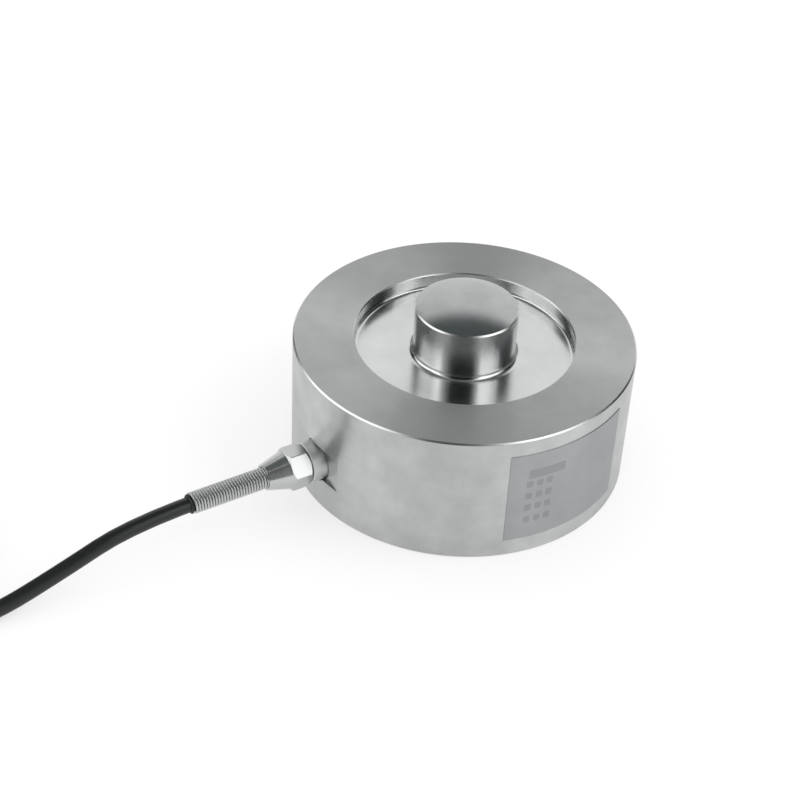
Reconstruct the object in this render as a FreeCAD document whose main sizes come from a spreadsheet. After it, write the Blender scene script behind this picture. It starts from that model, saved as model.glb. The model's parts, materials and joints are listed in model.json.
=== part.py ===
"""Pancake load cell with a side cable gland and its cable, in millimetres, +Z up.

The origin is the centre of the base ring, on the surface that the cell stands on.
The gland and its cable leave the cell towards -X, and the nameplate faces -Y.
"""
import FreeCAD, Part
import math
import os
import Sketcher

os.makedirs("parts", exist_ok=True)
Vector = FreeCAD.Vector
doc = FreeCAD.newDocument("load_cell")
sheet = doc.addObject("Spreadsheet::Sheet", "sizes")

# Driving dimensions, in millimetres, degrees and counts
DIMENSIONS = {
    # sensing body: ring, recess, loading boss and hub
    "outer_diameter": 115.0,
    "ring_height": 47.5,
    "edge_chamfer": 0.5,
    "recess_diameter": 74.0,
    "recess_depth": 5.5,
    "recess_chamfer": 0.4,
    "recess_fillet": 1.2,
    "web_thickness": 10.0,
    "boss_diameter": 34.5,
    "boss_rise": 11.8,
    "boss_chamfer": 0.4,
    "boss_fillet": 2.0,
    "dome_rise": 3.4,
    "hub_diameter": 30.0,
    "hub_spigot_diameter": 26.0,
    "hub_ground_gap": 1.0,
    "cavity_diameter": 87.0,
    "cavity_fillet": 2.5,
    # base bolt holes
    "bolt_circle_diameter": 102.0,
    "bolt_hole_diameter": 5.0,
    "bolt_hole_depth": 10.0,
    "bolt_hole_chamfer": 0.5,
    "bolt_count": 3,
    # bottom cover
    "cover_thickness": 1.0,
    "cover_ground_gap": 1.4,
    "cover_seat_width": 2.5,
    "cover_bead_diameter": 58.0,
    "cover_bead_width": 7.0,
    "cover_bead_flat_width": 2.8,
    "cover_bead_height": 2.2,
    "weld_gap": 0.05,
    # milled flat and gland bore in the side of the ring
    "flat_depth": 1.43,
    "flat_bottom": 11.65,
    "flat_height": 12.7,
    "gland_height": 16.6,
    "gland_seat_diameter": 14.5,
    "gland_seat_depth": 3.6,
    "gland_thread_diameter": 10.0,
    "gland_thread_length": 5.6,
    "core_passage_diameter": 6.4,
    # gland, measured outwards along its axis
    "fit_gap": 0.05,
    "collar_diameter": 13.8,
    "collar_length": 8.7,
    "collar_chamfer": 0.3,
    "seal_ring_cord": 1.2,
    "seal_ring_squeeze": 0.1,
    "nut_thread_diameter": 10.6,
    "nut_thread_length": 5.2,
    "cable_seal_diameter": 8.4,
    "cable_seal_length": 6.3,
    "cable_seal_seat": 1.0,
    "washer_thickness": 0.6,
    "nut_gap": 0.2,
    "nut_across_flats": 13.0,
    "nut_hex_length": 7.1,
    "nut_chamfer": 0.9,
    "nut_corner_angle": 8.0,
    "nut_cone_length": 7.8,
    "nut_tip_diameter": 8.7,
    "spring_pocket_depth": 4.3,
    # close-coiled strain relief spring and its rubber end ring
    "spring_diameter": 7.3,
    "spring_wire_diameter": 0.96,
    "spring_pitch": 0.99,
    "spring_reach": 26.7,
    "end_ring_diameter": 6.9,
    "end_ring_length": 0.8,
    # nameplate
    "nameplate_thickness": 0.2,
    "nameplate_angle": 46.5,
    "nameplate_middle_angle": 274.95,
    "nameplate_bottom": 6.7,
    "nameplate_height": 34.8,
    # strain gauges and wiring board under the web
    "gauge_length": 8.0,
    "gauge_width": 5.0,
    "gauge_backing_thickness": 0.15,
    "gauge_grid_length": 4.4,
    "gauge_grid_width": 3.0,
    "gauge_grid_thickness": 0.1,
    "inner_gauge_radius": 22.0,
    "outer_gauge_radius": 36.6,
    "board_outer_diameter": 68.0,
    "board_width": 8.5,
    "board_thickness": 1.0,
    "standoff_diameter": 4.0,
    "standoff_height": 3.0,
    "resistor_length": 3.2,
    "resistor_width": 1.6,
    "resistor_thickness": 0.6,
    "lead_width": 0.4,
    "lead_spacing": 1.8,
    "inner_lead_inset": 1.2,
    "outer_lead_inset": 2.1,
    "core_diameter": 1.0,
    "core_spread": 2.0,
    "core_bundle_spacing": 1.2,
    "potting_length": 2.0,
    # cable, its coil and the ties
    "cable_diameter": 5.2,
    "cable_joint_depth": 6.0,
    "coil_mean_radius": 31.8,
    "coil_pitch": 5.25,
    "coil_lift": 0.9,
    "coil_corner": 1.6,
    "coil_last_turn_start": 52.0,
    "coil_last_turn_angle": 252.0,
    "tie_thickness": 0.8,
    "tie_width": 4.0,
    "tie_clearance": 0.1,
    "tie_head_length": 5.0,
    "tie_head_height": 2.6,
    "end_sleeve_diameter": 5.2,
    "end_sleeve_angle": 14.0,
    "free_core_diameter": 1.2,
    "free_core_bundle_radius": 1.35,
    "free_core_spread": 1.55,
    "free_core_shift": 2.2,
    "free_core_rest_gap": 0.02,
    "tinned_tip_diameter": 0.8,
    "tinned_tip_length": 5.0,
}
for row, (alias, number) in enumerate(DIMENSIONS.items(), 1):
    sheet.set(f"A{row}", alias)
    sheet.set(f"B{row}", str(number))
    sheet.setAlias(f"B{row}", alias)
doc.recompute()

# How far a cutting outline runs past the material that it cuts
OVERRUN = 1.0

subparts = []


def value(expression):
    """Number that an expression of the sheet's sizes has now."""
    return float(sheet.evalExpression(str(expression)))


def finish(item, label):
    """Give a sub-part its label and put it on the list that is written out."""
    item.Label = label
    subparts.append(item)
    return item


def feature(label, shape, placement=FreeCAD.Placement()):
    """Sub-part whose shape comes from the geometry functions."""
    item = doc.addObject("Part::Feature", label)
    item.Shape = shape
    item.Placement = placement
    return finish(item, label)


def origin_plane(body, role):
    """One of a body's own origin planes, such as XZ_Plane."""
    return next(plane for plane in body.Origin.OriginFeatures if plane.Role == role)


def new_sketch(body, name, role, offset=None):
    """Empty sketch on an origin plane, moved along the plane's normal by offset."""
    sketch = body.newObject("Sketcher::SketchObject", name)
    sketch.AttachmentSupport = [(origin_plane(body, role), "")]
    sketch.MapMode = "FlatFace"
    if offset is not None:
        sketch.setExpression("AttachmentOffset.Base.z", offset)
    return sketch


def bind_point(sketch, edge, end, across, up):
    """Hold one point of a sketch at two expressions measured from the origin."""
    for kind, axis, expression in (("DistanceX", -2, across), ("DistanceY", -1, up)):
        if expression == "0":
            sketch.addConstraint(Sketcher.Constraint("PointOnObject", edge, end, axis))
            continue
        number = value(expression)
        held = sketch.addConstraint(Sketcher.Constraint(kind, -1, 1, edge, end, number))
        sketch.setExpression(f"Constraints[{held}]", expression)


def draw_outline(sketch, corners, bulges=()):
    """Closed outline through corners given as (across, up) expression pairs.

    bulges names the corners whose next side is an arc centred on the up axis.
    """
    points = [Vector(value(across), value(up), 0) for across, up in corners]
    first = sketch.GeometryCount
    count = len(corners)
    ends = []
    for index, start in enumerate(points):
        stop = points[(index + 1) % count]
        if index in bulges:
            half_chord = abs(start.x - stop.x)
            rise = abs(stop.y - start.y)
            radius = (half_chord**2 + rise**2) / (2 * rise)
            centre = Vector(0, max(start.y, stop.y) - radius, 0)
            angles = [math.atan2(p.y - centre.y, p.x - centre.x) for p in (start, stop)]
            circle = Part.Circle(centre, Vector(0, 0, 1), radius)
            edge = sketch.addGeometry(Part.ArcOfCircle(circle, min(angles), max(angles)))
            sketch.addConstraint(Sketcher.Constraint("PointOnObject", edge, 3, -2))
            ends.append((1, 2) if angles[0] < angles[1] else (2, 1))
        else:
            sketch.addGeometry(Part.LineSegment(start, stop))
            ends.append((1, 2))
    for index, (across, up) in enumerate(corners):
        after = (index + 1) % count
        join = (first + index, ends[index][1], first + after, ends[after][0])
        sketch.addConstraint(Sketcher.Constraint("Coincident", *join))
        bind_point(sketch, first + index, ends[index][0], across, up)


def turned_body(name, corners, bulges=()):
    """Body turned about its own Z axis from an outline of (radius, height) pairs."""
    body = doc.addObject("PartDesign::Body", name)
    sketch = new_sketch(body, name + "_outline", "XZ_Plane")
    draw_outline(sketch, corners, bulges)
    turned = body.newObject("PartDesign::Revolution", name + "_turned")
    turned.Profile = sketch
    turned.ReferenceAxis = (sketch, ["V_Axis"])
    turned.Angle = 360
    doc.recompute()
    return body


def round_edges(shape, *places):
    """Names of the circular edges that lie at the given (radius, height) pairs."""
    names = []
    for radius, height in places:
        found = []
        for number, edge in enumerate(shape.Edges, 1):
            if edge.Degenerated or edge.Curve.TypeId != "Part::GeomCircle":
                continue
            level = abs(edge.Curve.Center.z - value(height)) < 0.001
            if level and abs(edge.Curve.Radius - value(radius)) < 0.001:
                found.append(f"Edge{number}")
        if not found:
            raise ValueError(f"no round edge at {radius}, {height}")
        names += found
    return names


def dress(body, kind, name, size, *places):
    """Fillet or chamfer the round edges of a turned body at the given places."""
    base = body.Tip
    names = round_edges(base.Shape, *places)
    edge_feature = body.newObject(f"PartDesign::{kind}", name)
    edge_feature.Base = (base, names)
    edge_feature.setExpression("Radius" if kind == "Fillet" else "Size", size)
    doc.recompute()


def put_on_gland_axis(item):
    """Turn a piece so that its Z axis runs outwards along the gland's axis."""
    item.Placement = FreeCAD.Placement(Vector(), FreeCAD.Rotation(Vector(0, 1, 0), -90))
    item.setExpression("Placement.Base.z", "sizes.gland_height")


def place_at_angle(item, angle, along, side, height):
    """Turn a piece about the cell's axis and set its corner in that turned frame."""
    cosine = math.cos(math.radians(angle))
    sine = math.sin(math.radians(angle))
    turn = FreeCAD.Rotation(Vector(0, 0, 1), angle)
    item.Placement = FreeCAD.Placement(Vector(), turn)
    item.setExpression("Placement.Base.x", f"({along}) * {cosine} - ({side}) * {sine}")
    item.setExpression("Placement.Base.y", f"({along}) * {sine} + ({side}) * {cosine}")
    item.setExpression("Placement.Base.z", height)


# Sensing body, turned in one piece from a stainless bar
outer_radius = "sizes.outer_diameter / 2"
recess_radius = "sizes.recess_diameter / 2"
web_top = "sizes.ring_height - sizes.recess_depth"
web_bottom = f"{web_top} - sizes.web_thickness"
boss_radius = "sizes.boss_diameter / 2"
boss_edge = "sizes.ring_height + sizes.boss_rise"
hub_radius = "sizes.hub_diameter / 2"
spigot_radius = "sizes.hub_spigot_diameter / 2"
cavity_radius = "sizes.cavity_diameter / 2"
cover_top = "sizes.cover_ground_gap + sizes.cover_thickness"
cover_seat_radius = f"{cavity_radius} + sizes.cover_seat_width"
sensing_body = turned_body(
    "sensing_body",
    [
        ("0", "sizes.hub_ground_gap"),
        (spigot_radius, "sizes.hub_ground_gap"),
        (spigot_radius, cover_top),
        (hub_radius, cover_top),
        (hub_radius, web_bottom),
        (cavity_radius, web_bottom),
        (cavity_radius, cover_top),
        (cover_seat_radius, cover_top),
        (cover_seat_radius, "0"),
        (outer_radius, "0"),
        (outer_radius, "sizes.ring_height"),
        (recess_radius, "sizes.ring_height"),
        (recess_radius, web_top),
        (boss_radius, web_top),
        (boss_radius, boss_edge),
        ("0", f"{boss_edge} + sizes.dome_rise"),
    ],
    bulges=(14,),
)
dress(
    sensing_body, "Fillet", "cavity_corners", "sizes.cavity_fillet",
    (hub_radius, web_bottom), (cavity_radius, web_bottom),
)
dress(sensing_body, "Fillet", "boss_foot", "sizes.boss_fillet", (boss_radius, web_top))
dress(sensing_body, "Fillet", "recess_foot", "sizes.recess_fillet", (recess_radius, web_top))
dress(
    sensing_body, "Chamfer", "outer_edges", "sizes.edge_chamfer",
    (outer_radius, "sizes.ring_height"), (outer_radius, "0"),
)
dress(
    sensing_body, "Chamfer", "recess_rim", "sizes.recess_chamfer",
    (recess_radius, "sizes.ring_height"),
)
dress(sensing_body, "Chamfer", "boss_rim", "sizes.boss_chamfer", (boss_radius, boss_edge))

# Milled flat that the gland stands on
flat_radius = f"({outer_radius} - sizes.flat_depth)"
flat_sketch = new_sketch(sensing_body, "flat_outline", "YZ_Plane", f"-{flat_radius}")
flat_top = "sizes.flat_bottom + sizes.flat_height"
draw_outline(
    flat_sketch,
    [
        (f"-{outer_radius}", "sizes.flat_bottom"),
        (outer_radius, "sizes.flat_bottom"),
        (outer_radius, flat_top),
        (f"-{outer_radius}", flat_top),
    ],
)
flat = sensing_body.newObject("PartDesign::Pocket", "gland_flat")
flat.Profile = flat_sketch
flat.setExpression("Length", f"sizes.flat_depth + {OVERRUN}")
doc.recompute()

# Stepped gland bore: seat, thread and the passage for the cores
seat_radius = "sizes.gland_seat_diameter / 2"
thread_radius = "sizes.gland_thread_diameter / 2"
passage_radius = "sizes.core_passage_diameter / 2"
seat_floor = f"({flat_radius} - sizes.gland_seat_depth)"
thread_end = f"({seat_floor} - sizes.gland_thread_length)"
bore_sketch = new_sketch(sensing_body, "gland_bore_outline", "XZ_Plane")
bore_sketch.setExpression("AttachmentOffset.Base.y", "sizes.gland_height")
draw_outline(
    bore_sketch,
    [
        (f"-({cavity_radius} - {OVERRUN})", "0"),
        (f"-({outer_radius} + {OVERRUN})", "0"),
        (f"-({outer_radius} + {OVERRUN})", seat_radius),
        (f"-{seat_floor}", seat_radius),
        (f"-{seat_floor}", thread_radius),
        (f"-{thread_end}", thread_radius),
        (f"-{thread_end}", passage_radius),
        (f"-({cavity_radius} - {OVERRUN})", passage_radius),
    ],
)
bore = sensing_body.newObject("PartDesign::Groove", "gland_bore")
bore.Profile = bore_sketch
bore.ReferenceAxis = (bore_sketch, ["H_Axis"])
bore.Angle = 360
doc.recompute()

# Tapped holes in the base, drilled to the tapping size
hole_sketch = new_sketch(sensing_body, "bolt_hole_centre", "XY_Plane")
hole_sketch.addGeometry(Part.Circle(Vector(value("sizes.bolt_circle_diameter / 2"), 0, 0),
                                    Vector(0, 0, 1), value("sizes.bolt_hole_diameter / 2")))
bind_point(hole_sketch, 0, 3, "sizes.bolt_circle_diameter / 2", "0")
held = hole_sketch.addConstraint(
    Sketcher.Constraint("Diameter", 0, value("sizes.bolt_hole_diameter"))
)
hole_sketch.setExpression(f"Constraints[{held}]", "sizes.bolt_hole_diameter")
doc.recompute()
hole = sensing_body.newObject("PartDesign::Hole", "bolt_hole")
hole.Profile = hole_sketch
hole.Reversed = True
hole.ThreadType = 0
hole.DepthType = 0
hole.DrillPoint = 1
hole.setExpression("Diameter", "sizes.bolt_hole_diameter")
hole.setExpression("Depth", "sizes.bolt_hole_depth")
hole.HoleCutType = 2
hole.HoleCutCustomValues = True
hole.setExpression("HoleCutDiameter", "sizes.bolt_hole_diameter + 2 * sizes.bolt_hole_chamfer")
hole.HoleCutCountersinkAngle = 90
doc.recompute()
holes = sensing_body.newObject("PartDesign::PolarPattern", "bolt_holes")
holes.Originals = [hole]
holes.Axis = (hole_sketch, ["N_Axis"])
holes.Angle = 360
holes.setExpression("Occurrences", "sizes.bolt_count")
sensing_body.Tip = holes
doc.recompute()
finish(sensing_body, "sensing_body")

# Bottom cover: an annular sheet with a rolled bead, welded at both edges
bead_middle = "sizes.cover_bead_diameter / 2"
bead_half = "sizes.cover_bead_width / 2"
cover_bottom = "sizes.cover_ground_gap"
bead_flat = "sizes.cover_bead_flat_width / 2"
bottom_cover = turned_body(
    "bottom_cover",
    [
        (f"{spigot_radius} + sizes.weld_gap", cover_bottom),
        (f"{bead_middle} - {bead_half}", cover_bottom),
        (f"{bead_middle} - {bead_flat}", f"{cover_bottom} + sizes.cover_bead_height"),
        (f"{bead_middle} + {bead_flat}", f"{cover_bottom} + sizes.cover_bead_height"),
        (f"{bead_middle} + {bead_half}", cover_bottom),
        (f"{cover_seat_radius} - sizes.weld_gap", cover_bottom),
        (f"{cover_seat_radius} - sizes.weld_gap", cover_top),
        (f"{bead_middle} + {bead_half} - sizes.weld_gap", cover_top),
        (f"{bead_middle} + {bead_flat}", f"{cover_top} + sizes.cover_bead_height"),
        (f"{bead_middle} - {bead_flat}", f"{cover_top} + sizes.cover_bead_height"),
        (f"{bead_middle} - {bead_half} + sizes.weld_gap", cover_top),
        (f"{spigot_radius} + sizes.weld_gap", cover_top),
    ],
)
finish(bottom_cover, "bottom_cover")

# Nameplate: a thin foil stuck to the wall of the ring
foil_angle = "sizes.nameplate_angle"
foil_blank = doc.addObject("Part::Cylinder", "nameplate_blank")
foil_blank.setExpression("Radius", f"{outer_radius} + sizes.nameplate_thickness")
foil_core = doc.addObject("Part::Cylinder", "nameplate_core")
foil_core.setExpression("Radius", outer_radius)
for cylinder in (foil_blank, foil_core):
    cylinder.setExpression("Height", "sizes.nameplate_height")
    cylinder.setExpression("Angle", foil_angle)
nameplate = doc.addObject("Part::Cut", "nameplate")
nameplate.Base = foil_blank
nameplate.Tool = foil_core
nameplate.Placement = FreeCAD.Placement(Vector(), FreeCAD.Rotation(Vector(0, 0, 1), 0.1))
nameplate.setExpression("Placement.Base.z", "sizes.nameplate_bottom")
nameplate.setExpression(
    "Placement.Rotation.Angle", "sizes.nameplate_middle_angle - sizes.nameplate_angle / 2"
)
finish(nameplate, "nameplate")

# Gland body: threaded shank, round collar and the male thread for the nut
shank_radius = f"{thread_radius} - sizes.fit_gap"
cable_radius = "sizes.cable_diameter / 2"
cable_bore = f"{cable_radius} + 4 * sizes.fit_gap"
collar_radius = "sizes.collar_diameter / 2"
collar_start = f"({seat_floor} + sizes.fit_gap)"
collar_end = f"({collar_start} + sizes.collar_length)"
mouth_end = f"({collar_end} + sizes.nut_thread_length)"
nut_thread_radius = "sizes.nut_thread_diameter / 2"
seal_start = f"({collar_end} - sizes.cable_seal_seat)"
seal_radius = "sizes.cable_seal_diameter / 2"
groove_depth = "(sizes.seal_ring_cord - sizes.seal_ring_squeeze)"
groove_outer = f"({thread_radius} + sizes.seal_ring_cord + sizes.seal_ring_squeeze)"
gland_body = turned_body(
    "gland_body",
    [
        (cable_bore, f"{thread_end} + 4 * sizes.fit_gap"),
        (shank_radius, f"{thread_end} + 4 * sizes.fit_gap"),
        (shank_radius, f"{collar_start} + {groove_depth}"),
        (groove_outer, f"{collar_start} + {groove_depth}"),
        (groove_outer, collar_start),
        (collar_radius, collar_start),
        (collar_radius, collar_end),
        (nut_thread_radius, collar_end),
        (nut_thread_radius, mouth_end),
        (f"{seal_radius} + sizes.fit_gap", mouth_end),
        (f"{seal_radius} + sizes.fit_gap", seal_start),
        (cable_bore, seal_start),
    ],
)
dress(
    gland_body, "Chamfer", "collar_edges", "sizes.collar_chamfer",
    (collar_radius, collar_start), (collar_radius, collar_end),
)
put_on_gland_axis(gland_body)
finish(gland_body, "gland_body")

# Sealing ring in the groove under the collar
seal_ring = doc.addObject("Part::Torus", "gland_sealing_ring")
seal_ring.setExpression("Radius1", f"{thread_radius} + sizes.seal_ring_cord / 2")
seal_ring.setExpression("Radius2", f"{groove_depth} / 2")
put_on_gland_axis(seal_ring)
seal_ring.setExpression("Placement.Base.x", f"-({seat_floor} + {groove_depth} / 2)")
finish(seal_ring, "gland_sealing_ring")

# Rubber seal, pressed round the cable by the washer and the nut
seal_end = f"({seal_start} + sizes.cable_seal_length)"
cable_seal = turned_body(
    "cable_seal",
    [
        (f"{cable_radius} + sizes.fit_gap", f"{seal_start} + sizes.fit_gap"),
        (seal_radius, f"{seal_start} + sizes.fit_gap"),
        (seal_radius, seal_end),
        (f"{cable_radius} + sizes.fit_gap", seal_end),
    ],
)
put_on_gland_axis(cable_seal)
finish(cable_seal, "cable_seal")

washer_start = f"({seal_end} + sizes.fit_gap)"
washer_end = f"({washer_start} + sizes.washer_thickness)"
clamp_washer = turned_body(
    "clamp_washer",
    [
        (cable_bore, washer_start),
        (f"{nut_thread_radius} - sizes.fit_gap", washer_start),
        (f"{nut_thread_radius} - sizes.fit_gap", washer_end),
        (cable_bore, washer_end),
    ],
)
put_on_gland_axis(clamp_washer)
finish(clamp_washer, "clamp_washer")

# Gland nut: turned from hexagon bar, with a long cone down to the spring
nut_start = f"({collar_end} + sizes.nut_gap)"
nut_shoulder = f"({nut_start} + sizes.nut_hex_length)"
nut_tip = f"({nut_shoulder} + sizes.nut_cone_length)"
half_flats = "sizes.nut_across_flats / 2"
nut_corner = "(sizes.nut_across_flats / sqrt(3))"
nut_roof = f"({washer_end} + sizes.fit_gap)"
pocket_start = f"({nut_tip} - sizes.spring_pocket_depth)"
pocket_radius = "sizes.spring_diameter / 2 + sizes.fit_gap"
gland_nut = turned_body(
    "gland_nut",
    [
        (f"{nut_thread_radius} + sizes.fit_gap", nut_start),
        (f"{half_flats} - sizes.fit_gap", nut_start),
        (nut_corner, f"{nut_start} + sizes.nut_chamfer"),
        (nut_corner, f"{nut_shoulder} - sizes.nut_chamfer"),
        (f"{half_flats} - sizes.fit_gap", nut_shoulder),
        ("sizes.nut_tip_diameter / 2", nut_tip),
        (pocket_radius, nut_tip),
        (pocket_radius, pocket_start),
        (cable_bore, pocket_start),
        (cable_bore, nut_roof),
        (f"{nut_thread_radius} + sizes.fit_gap", nut_roof),
    ],
)
hex_sketch = new_sketch(gland_nut, "nut_hexagon", "XY_Plane")
draw_outline(
    hex_sketch,
    [
        (f"{nut_corner} * cos({270 + 60 * side} deg + sizes.nut_corner_angle * 1 deg)",
         f"{nut_corner} * sin({270 + 60 * side} deg + sizes.nut_corner_angle * 1 deg)")
        for side in range(6)
    ],
)
rim = hex_sketch.addGeometry(
    Part.Circle(Vector(), Vector(0, 0, 1), value("sizes.nut_across_flats"))
)
bind_point(hex_sketch, rim, 3, "0", "0")
held = hex_sketch.addConstraint(Sketcher.Constraint("Radius", rim, value("sizes.nut_across_flats")))
hex_sketch.setExpression(f"Constraints[{held}]", "sizes.nut_across_flats")
doc.recompute()
hexagon = gland_nut.newObject("PartDesign::Pocket", "nut_flats")
hexagon.Profile = hex_sketch
hexagon.Reversed = True
hexagon.setExpression("Length", f"{nut_tip} + {OVERRUN}")
doc.recompute()
put_on_gland_axis(gland_nut)
finish(gland_nut, "gland_nut")

# Strain relief spring: a close-coiled helix held in the nut's pocket.
# Its round wire has a six-sided section here, with the corners on the wire's surface.
wire_radius = "sizes.spring_wire_diameter / 2"
spring_start = f"({pocket_start} + {wire_radius} + sizes.fit_gap)"
spring_end = f"({nut_tip} + sizes.spring_reach)"
spring_helix = doc.addObject("Part::Helix", "spring_path")
spring_helix.setExpression("Pitch", "sizes.spring_pitch")
spring_helix.setExpression("Height", f"{spring_end} - {wire_radius} - {spring_start}")
spring_helix.setExpression("Radius", f"sizes.spring_diameter / 2 - {wire_radius}")
spring_section = doc.addObject("Part::RegularPolygon", "spring_wire_section")
spring_section.Polygon = 6
spring_section.setExpression("Circumradius", wire_radius)
spring_section.Placement = FreeCAD.Placement(Vector(), FreeCAD.Rotation(Vector(1, 0, 0), 90))
spring_section.setExpression("Placement.Base.x", f"sizes.spring_diameter / 2 - {wire_radius}")
doc.recompute()
spring = doc.addObject("Part::Sweep", "strain_relief_spring")
spring.Sections = [spring_section]
spring.Spine = (spring_helix, [])
spring.Solid = True
spring.Frenet = True
put_on_gland_axis(spring)
spring.setExpression("Placement.Base.x", f"-{spring_start}")
finish(spring, "strain_relief_spring")

end_ring = turned_body(
    "spring_end_ring",
    [
        (f"{cable_radius} + sizes.fit_gap", f"{spring_end} + sizes.fit_gap"),
        ("sizes.end_ring_diameter / 2", f"{spring_end} + sizes.fit_gap"),
        ("sizes.end_ring_diameter / 2", f"{spring_end} + sizes.end_ring_length"),
        (f"{cable_radius} + sizes.fit_gap", f"{spring_end} + sizes.end_ring_length"),
    ],
)
put_on_gland_axis(end_ring)
finish(end_ring, "spring_end_ring")

# Jacketed stretch of the cable inside the gland and the spring
jacket_start = f"({thread_end} + 4 * sizes.fit_gap)"
jacket_end = f"({spring_end} - sizes.cable_joint_depth)"
gland_cable = doc.addObject("Part::Cylinder", "cable_in_gland")
gland_cable.setExpression("Radius", cable_radius)
gland_cable.setExpression("Height", f"{jacket_end} - {jacket_start}")
put_on_gland_axis(gland_cable)
gland_cable.setExpression("Placement.Base.x", f"-{jacket_start}")
finish(gland_cable, "cable_in_gland")

# Epoxy plug that seals the cores where they enter the cavity
potting = doc.addObject("Part::Cylinder", "core_potting")
potting.setExpression("Radius", f"{passage_radius} - sizes.fit_gap")
potting.setExpression("Height", "sizes.potting_length")
put_on_gland_axis(potting)
potting.setExpression("Placement.Base.x", f"-({thread_end} - sizes.potting_length)")
finish(potting, "core_potting")

# Strain gauges, bonded to the underside of the web at four places
GAUGE_ANGLES = (45, 135, 225, 315)
for ring_name in ("inner", "outer"):
    for number, angle in enumerate(GAUGE_ANGLES, 1):
        label = f"{ring_name}_strain_gauge_{number}"
        middle = f"sizes.{ring_name}_gauge_radius"
        layers = []
        level = web_bottom
        for layer in ("backing", "grid"):
            length, width = "sizes.gauge_length", "sizes.gauge_width"
            if layer == "grid":
                length, width = "sizes.gauge_grid_length", "sizes.gauge_grid_width"
            thickness = f"sizes.gauge_{layer}_thickness"
            level = f"{level} - {thickness}"
            plate = doc.addObject("Part::Box", f"{label}_{layer}")
            plate.setExpression("Length", length)
            plate.setExpression("Width", width)
            plate.setExpression("Height", thickness)
            place_at_angle(plate, angle, f"{middle} - {length} / 2", f"-{width} / 2", level)
            layers.append(plate)
        gauge = doc.addObject("Part::Fuse", label)
        gauge.Base, gauge.Tool = layers
        finish(gauge, label)

# Ring-shaped wiring board on four standoffs glued under the web
board_top = f"{web_bottom} - sizes.standoff_height"
board_bottom = f"{board_top} - sizes.board_thickness"
board_outer = "(sizes.board_outer_diameter / 2)"
board_inner = f"({board_outer} - sizes.board_width)"
wiring_board = turned_body(
    "wiring_board",
    [
        (board_inner, board_bottom),
        (board_outer, board_bottom),
        (board_outer, board_top),
        (board_inner, board_top),
    ],
)
finish(wiring_board, "wiring_board")
board_middle = f"({board_outer} - sizes.board_width / 2)"
for number, angle in enumerate((0, 90, 180, 270), 1):
    standoff = doc.addObject("Part::Cylinder", f"board_standoff_{number}")
    standoff.setExpression("Radius", "sizes.standoff_diameter / 2")
    standoff.setExpression("Height", "sizes.standoff_height")
    place_at_angle(standoff, angle, board_middle, "0", board_top)
    finish(standoff, f"board_standoff_{number}")
for number, angle in enumerate(GAUGE_ANGLES, 1):
    resistor = doc.addObject("Part::Box", f"trim_resistor_{number}")
    resistor.setExpression("Length", "sizes.resistor_length")
    resistor.setExpression("Width", "sizes.resistor_width")
    resistor.setExpression("Height", "sizes.resistor_thickness")
    place_at_angle(
        resistor, angle, f"{board_middle} - sizes.resistor_length / 2",
        "-sizes.resistor_width / 2", f"{board_bottom} - sizes.resistor_thickness",
    )
    finish(resistor, f"trim_resistor_{number}")


def at_angle(radius, angle, height):
    """Point at a radius, an angle in degrees and a height about the cell's axis."""
    turn = math.radians(angle)
    return Vector(radius * math.cos(turn), radius * math.sin(turn), height)


# Gauge leads: two fine ribbons from each gauge down to a pad near the board's edge
lead_width = value("sizes.lead_width")
lead_feet = {
    "inner": value(f"{board_inner} + sizes.inner_lead_inset"),
    "outer": value(f"{board_outer} - sizes.outer_lead_inset"),
}
gauge_face = value(f"{web_bottom} - sizes.gauge_backing_thickness")
board_face = value(board_top)
for ring_name, inward in (("inner", 1), ("outer", -1)):
    tab = value(f"sizes.{ring_name}_gauge_radius")
    tab += inward * value("sizes.gauge_length / 2 - 2 * sizes.lead_width")
    ribbons = []
    for angle in GAUGE_ANGLES:
        for side in (-1, 1):
            swing = side * math.degrees(value("sizes.lead_spacing / 2") / tab)
            top = at_angle(tab, angle + swing, gauge_face)
            foot = at_angle(lead_feet[ring_name], angle + swing, board_face)
            across = Vector(0, 0, 1).cross(foot - top).normalize() * lead_width / 2
            along = at_angle(lead_width / 4, angle + swing, 0)
            corners = [top + across + along, top - across + along,
                       top - across - along, top + across - along]
            ribbon = Part.Face(Part.makePolygon(corners + corners[:1]))
            ribbons.append(ribbon.extrude(foot - top))
    feature(f"{ring_name}_gauge_leads", Part.makeCompound(ribbons))


# Share of the shorter of two straight runs that the bend between them takes up
BEND_SHARE = 0.45


def tube_path(points, name):
    """Straight runs joined by tangent arcs, each as large as its two runs allow."""
    edges = []
    radii = []
    last = points[0]
    for before, corner, after in zip(points, points[1:], points[2:]):
        arrive = (corner - before).normalize()
        leave = (after - corner).normalize()
        half_turn = arrive.getAngle(leave) / 2
        trim = BEND_SHARE * min((corner - before).Length, (after - corner).Length)
        radius = trim / math.tan(half_turn)
        inward = (leave - arrive).normalize()
        start = corner - arrive * trim
        stop = corner + leave * trim
        middle = corner + inward * (radius / math.cos(half_turn) - radius)
        edges.append(Part.LineSegment(last, start).toShape())
        edges.append(Part.Arc(start, middle, stop).toShape())
        radii.append(round(radius, 1))
        last = stop
    edges.append(Part.LineSegment(last, points[-1]).toShape())
    print(name, "bend radii", radii)
    return Part.Wire(edges)


def tube(points, radius, name):
    """Solid tube along a route, checked against its section times its length."""
    path = tube_path(points, name)
    circle = Part.Circle(points[0], points[1] - points[0], radius)
    section = Part.Wire([circle.toShape()])
    solid = path.makePipeShell([section], True, False)
    ratio = solid.Volume / (math.pi * radius**2 * path.Length)
    print(name, "length", round(path.Length, 1), "volume ratio", round(ratio, 4))
    return solid


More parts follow.
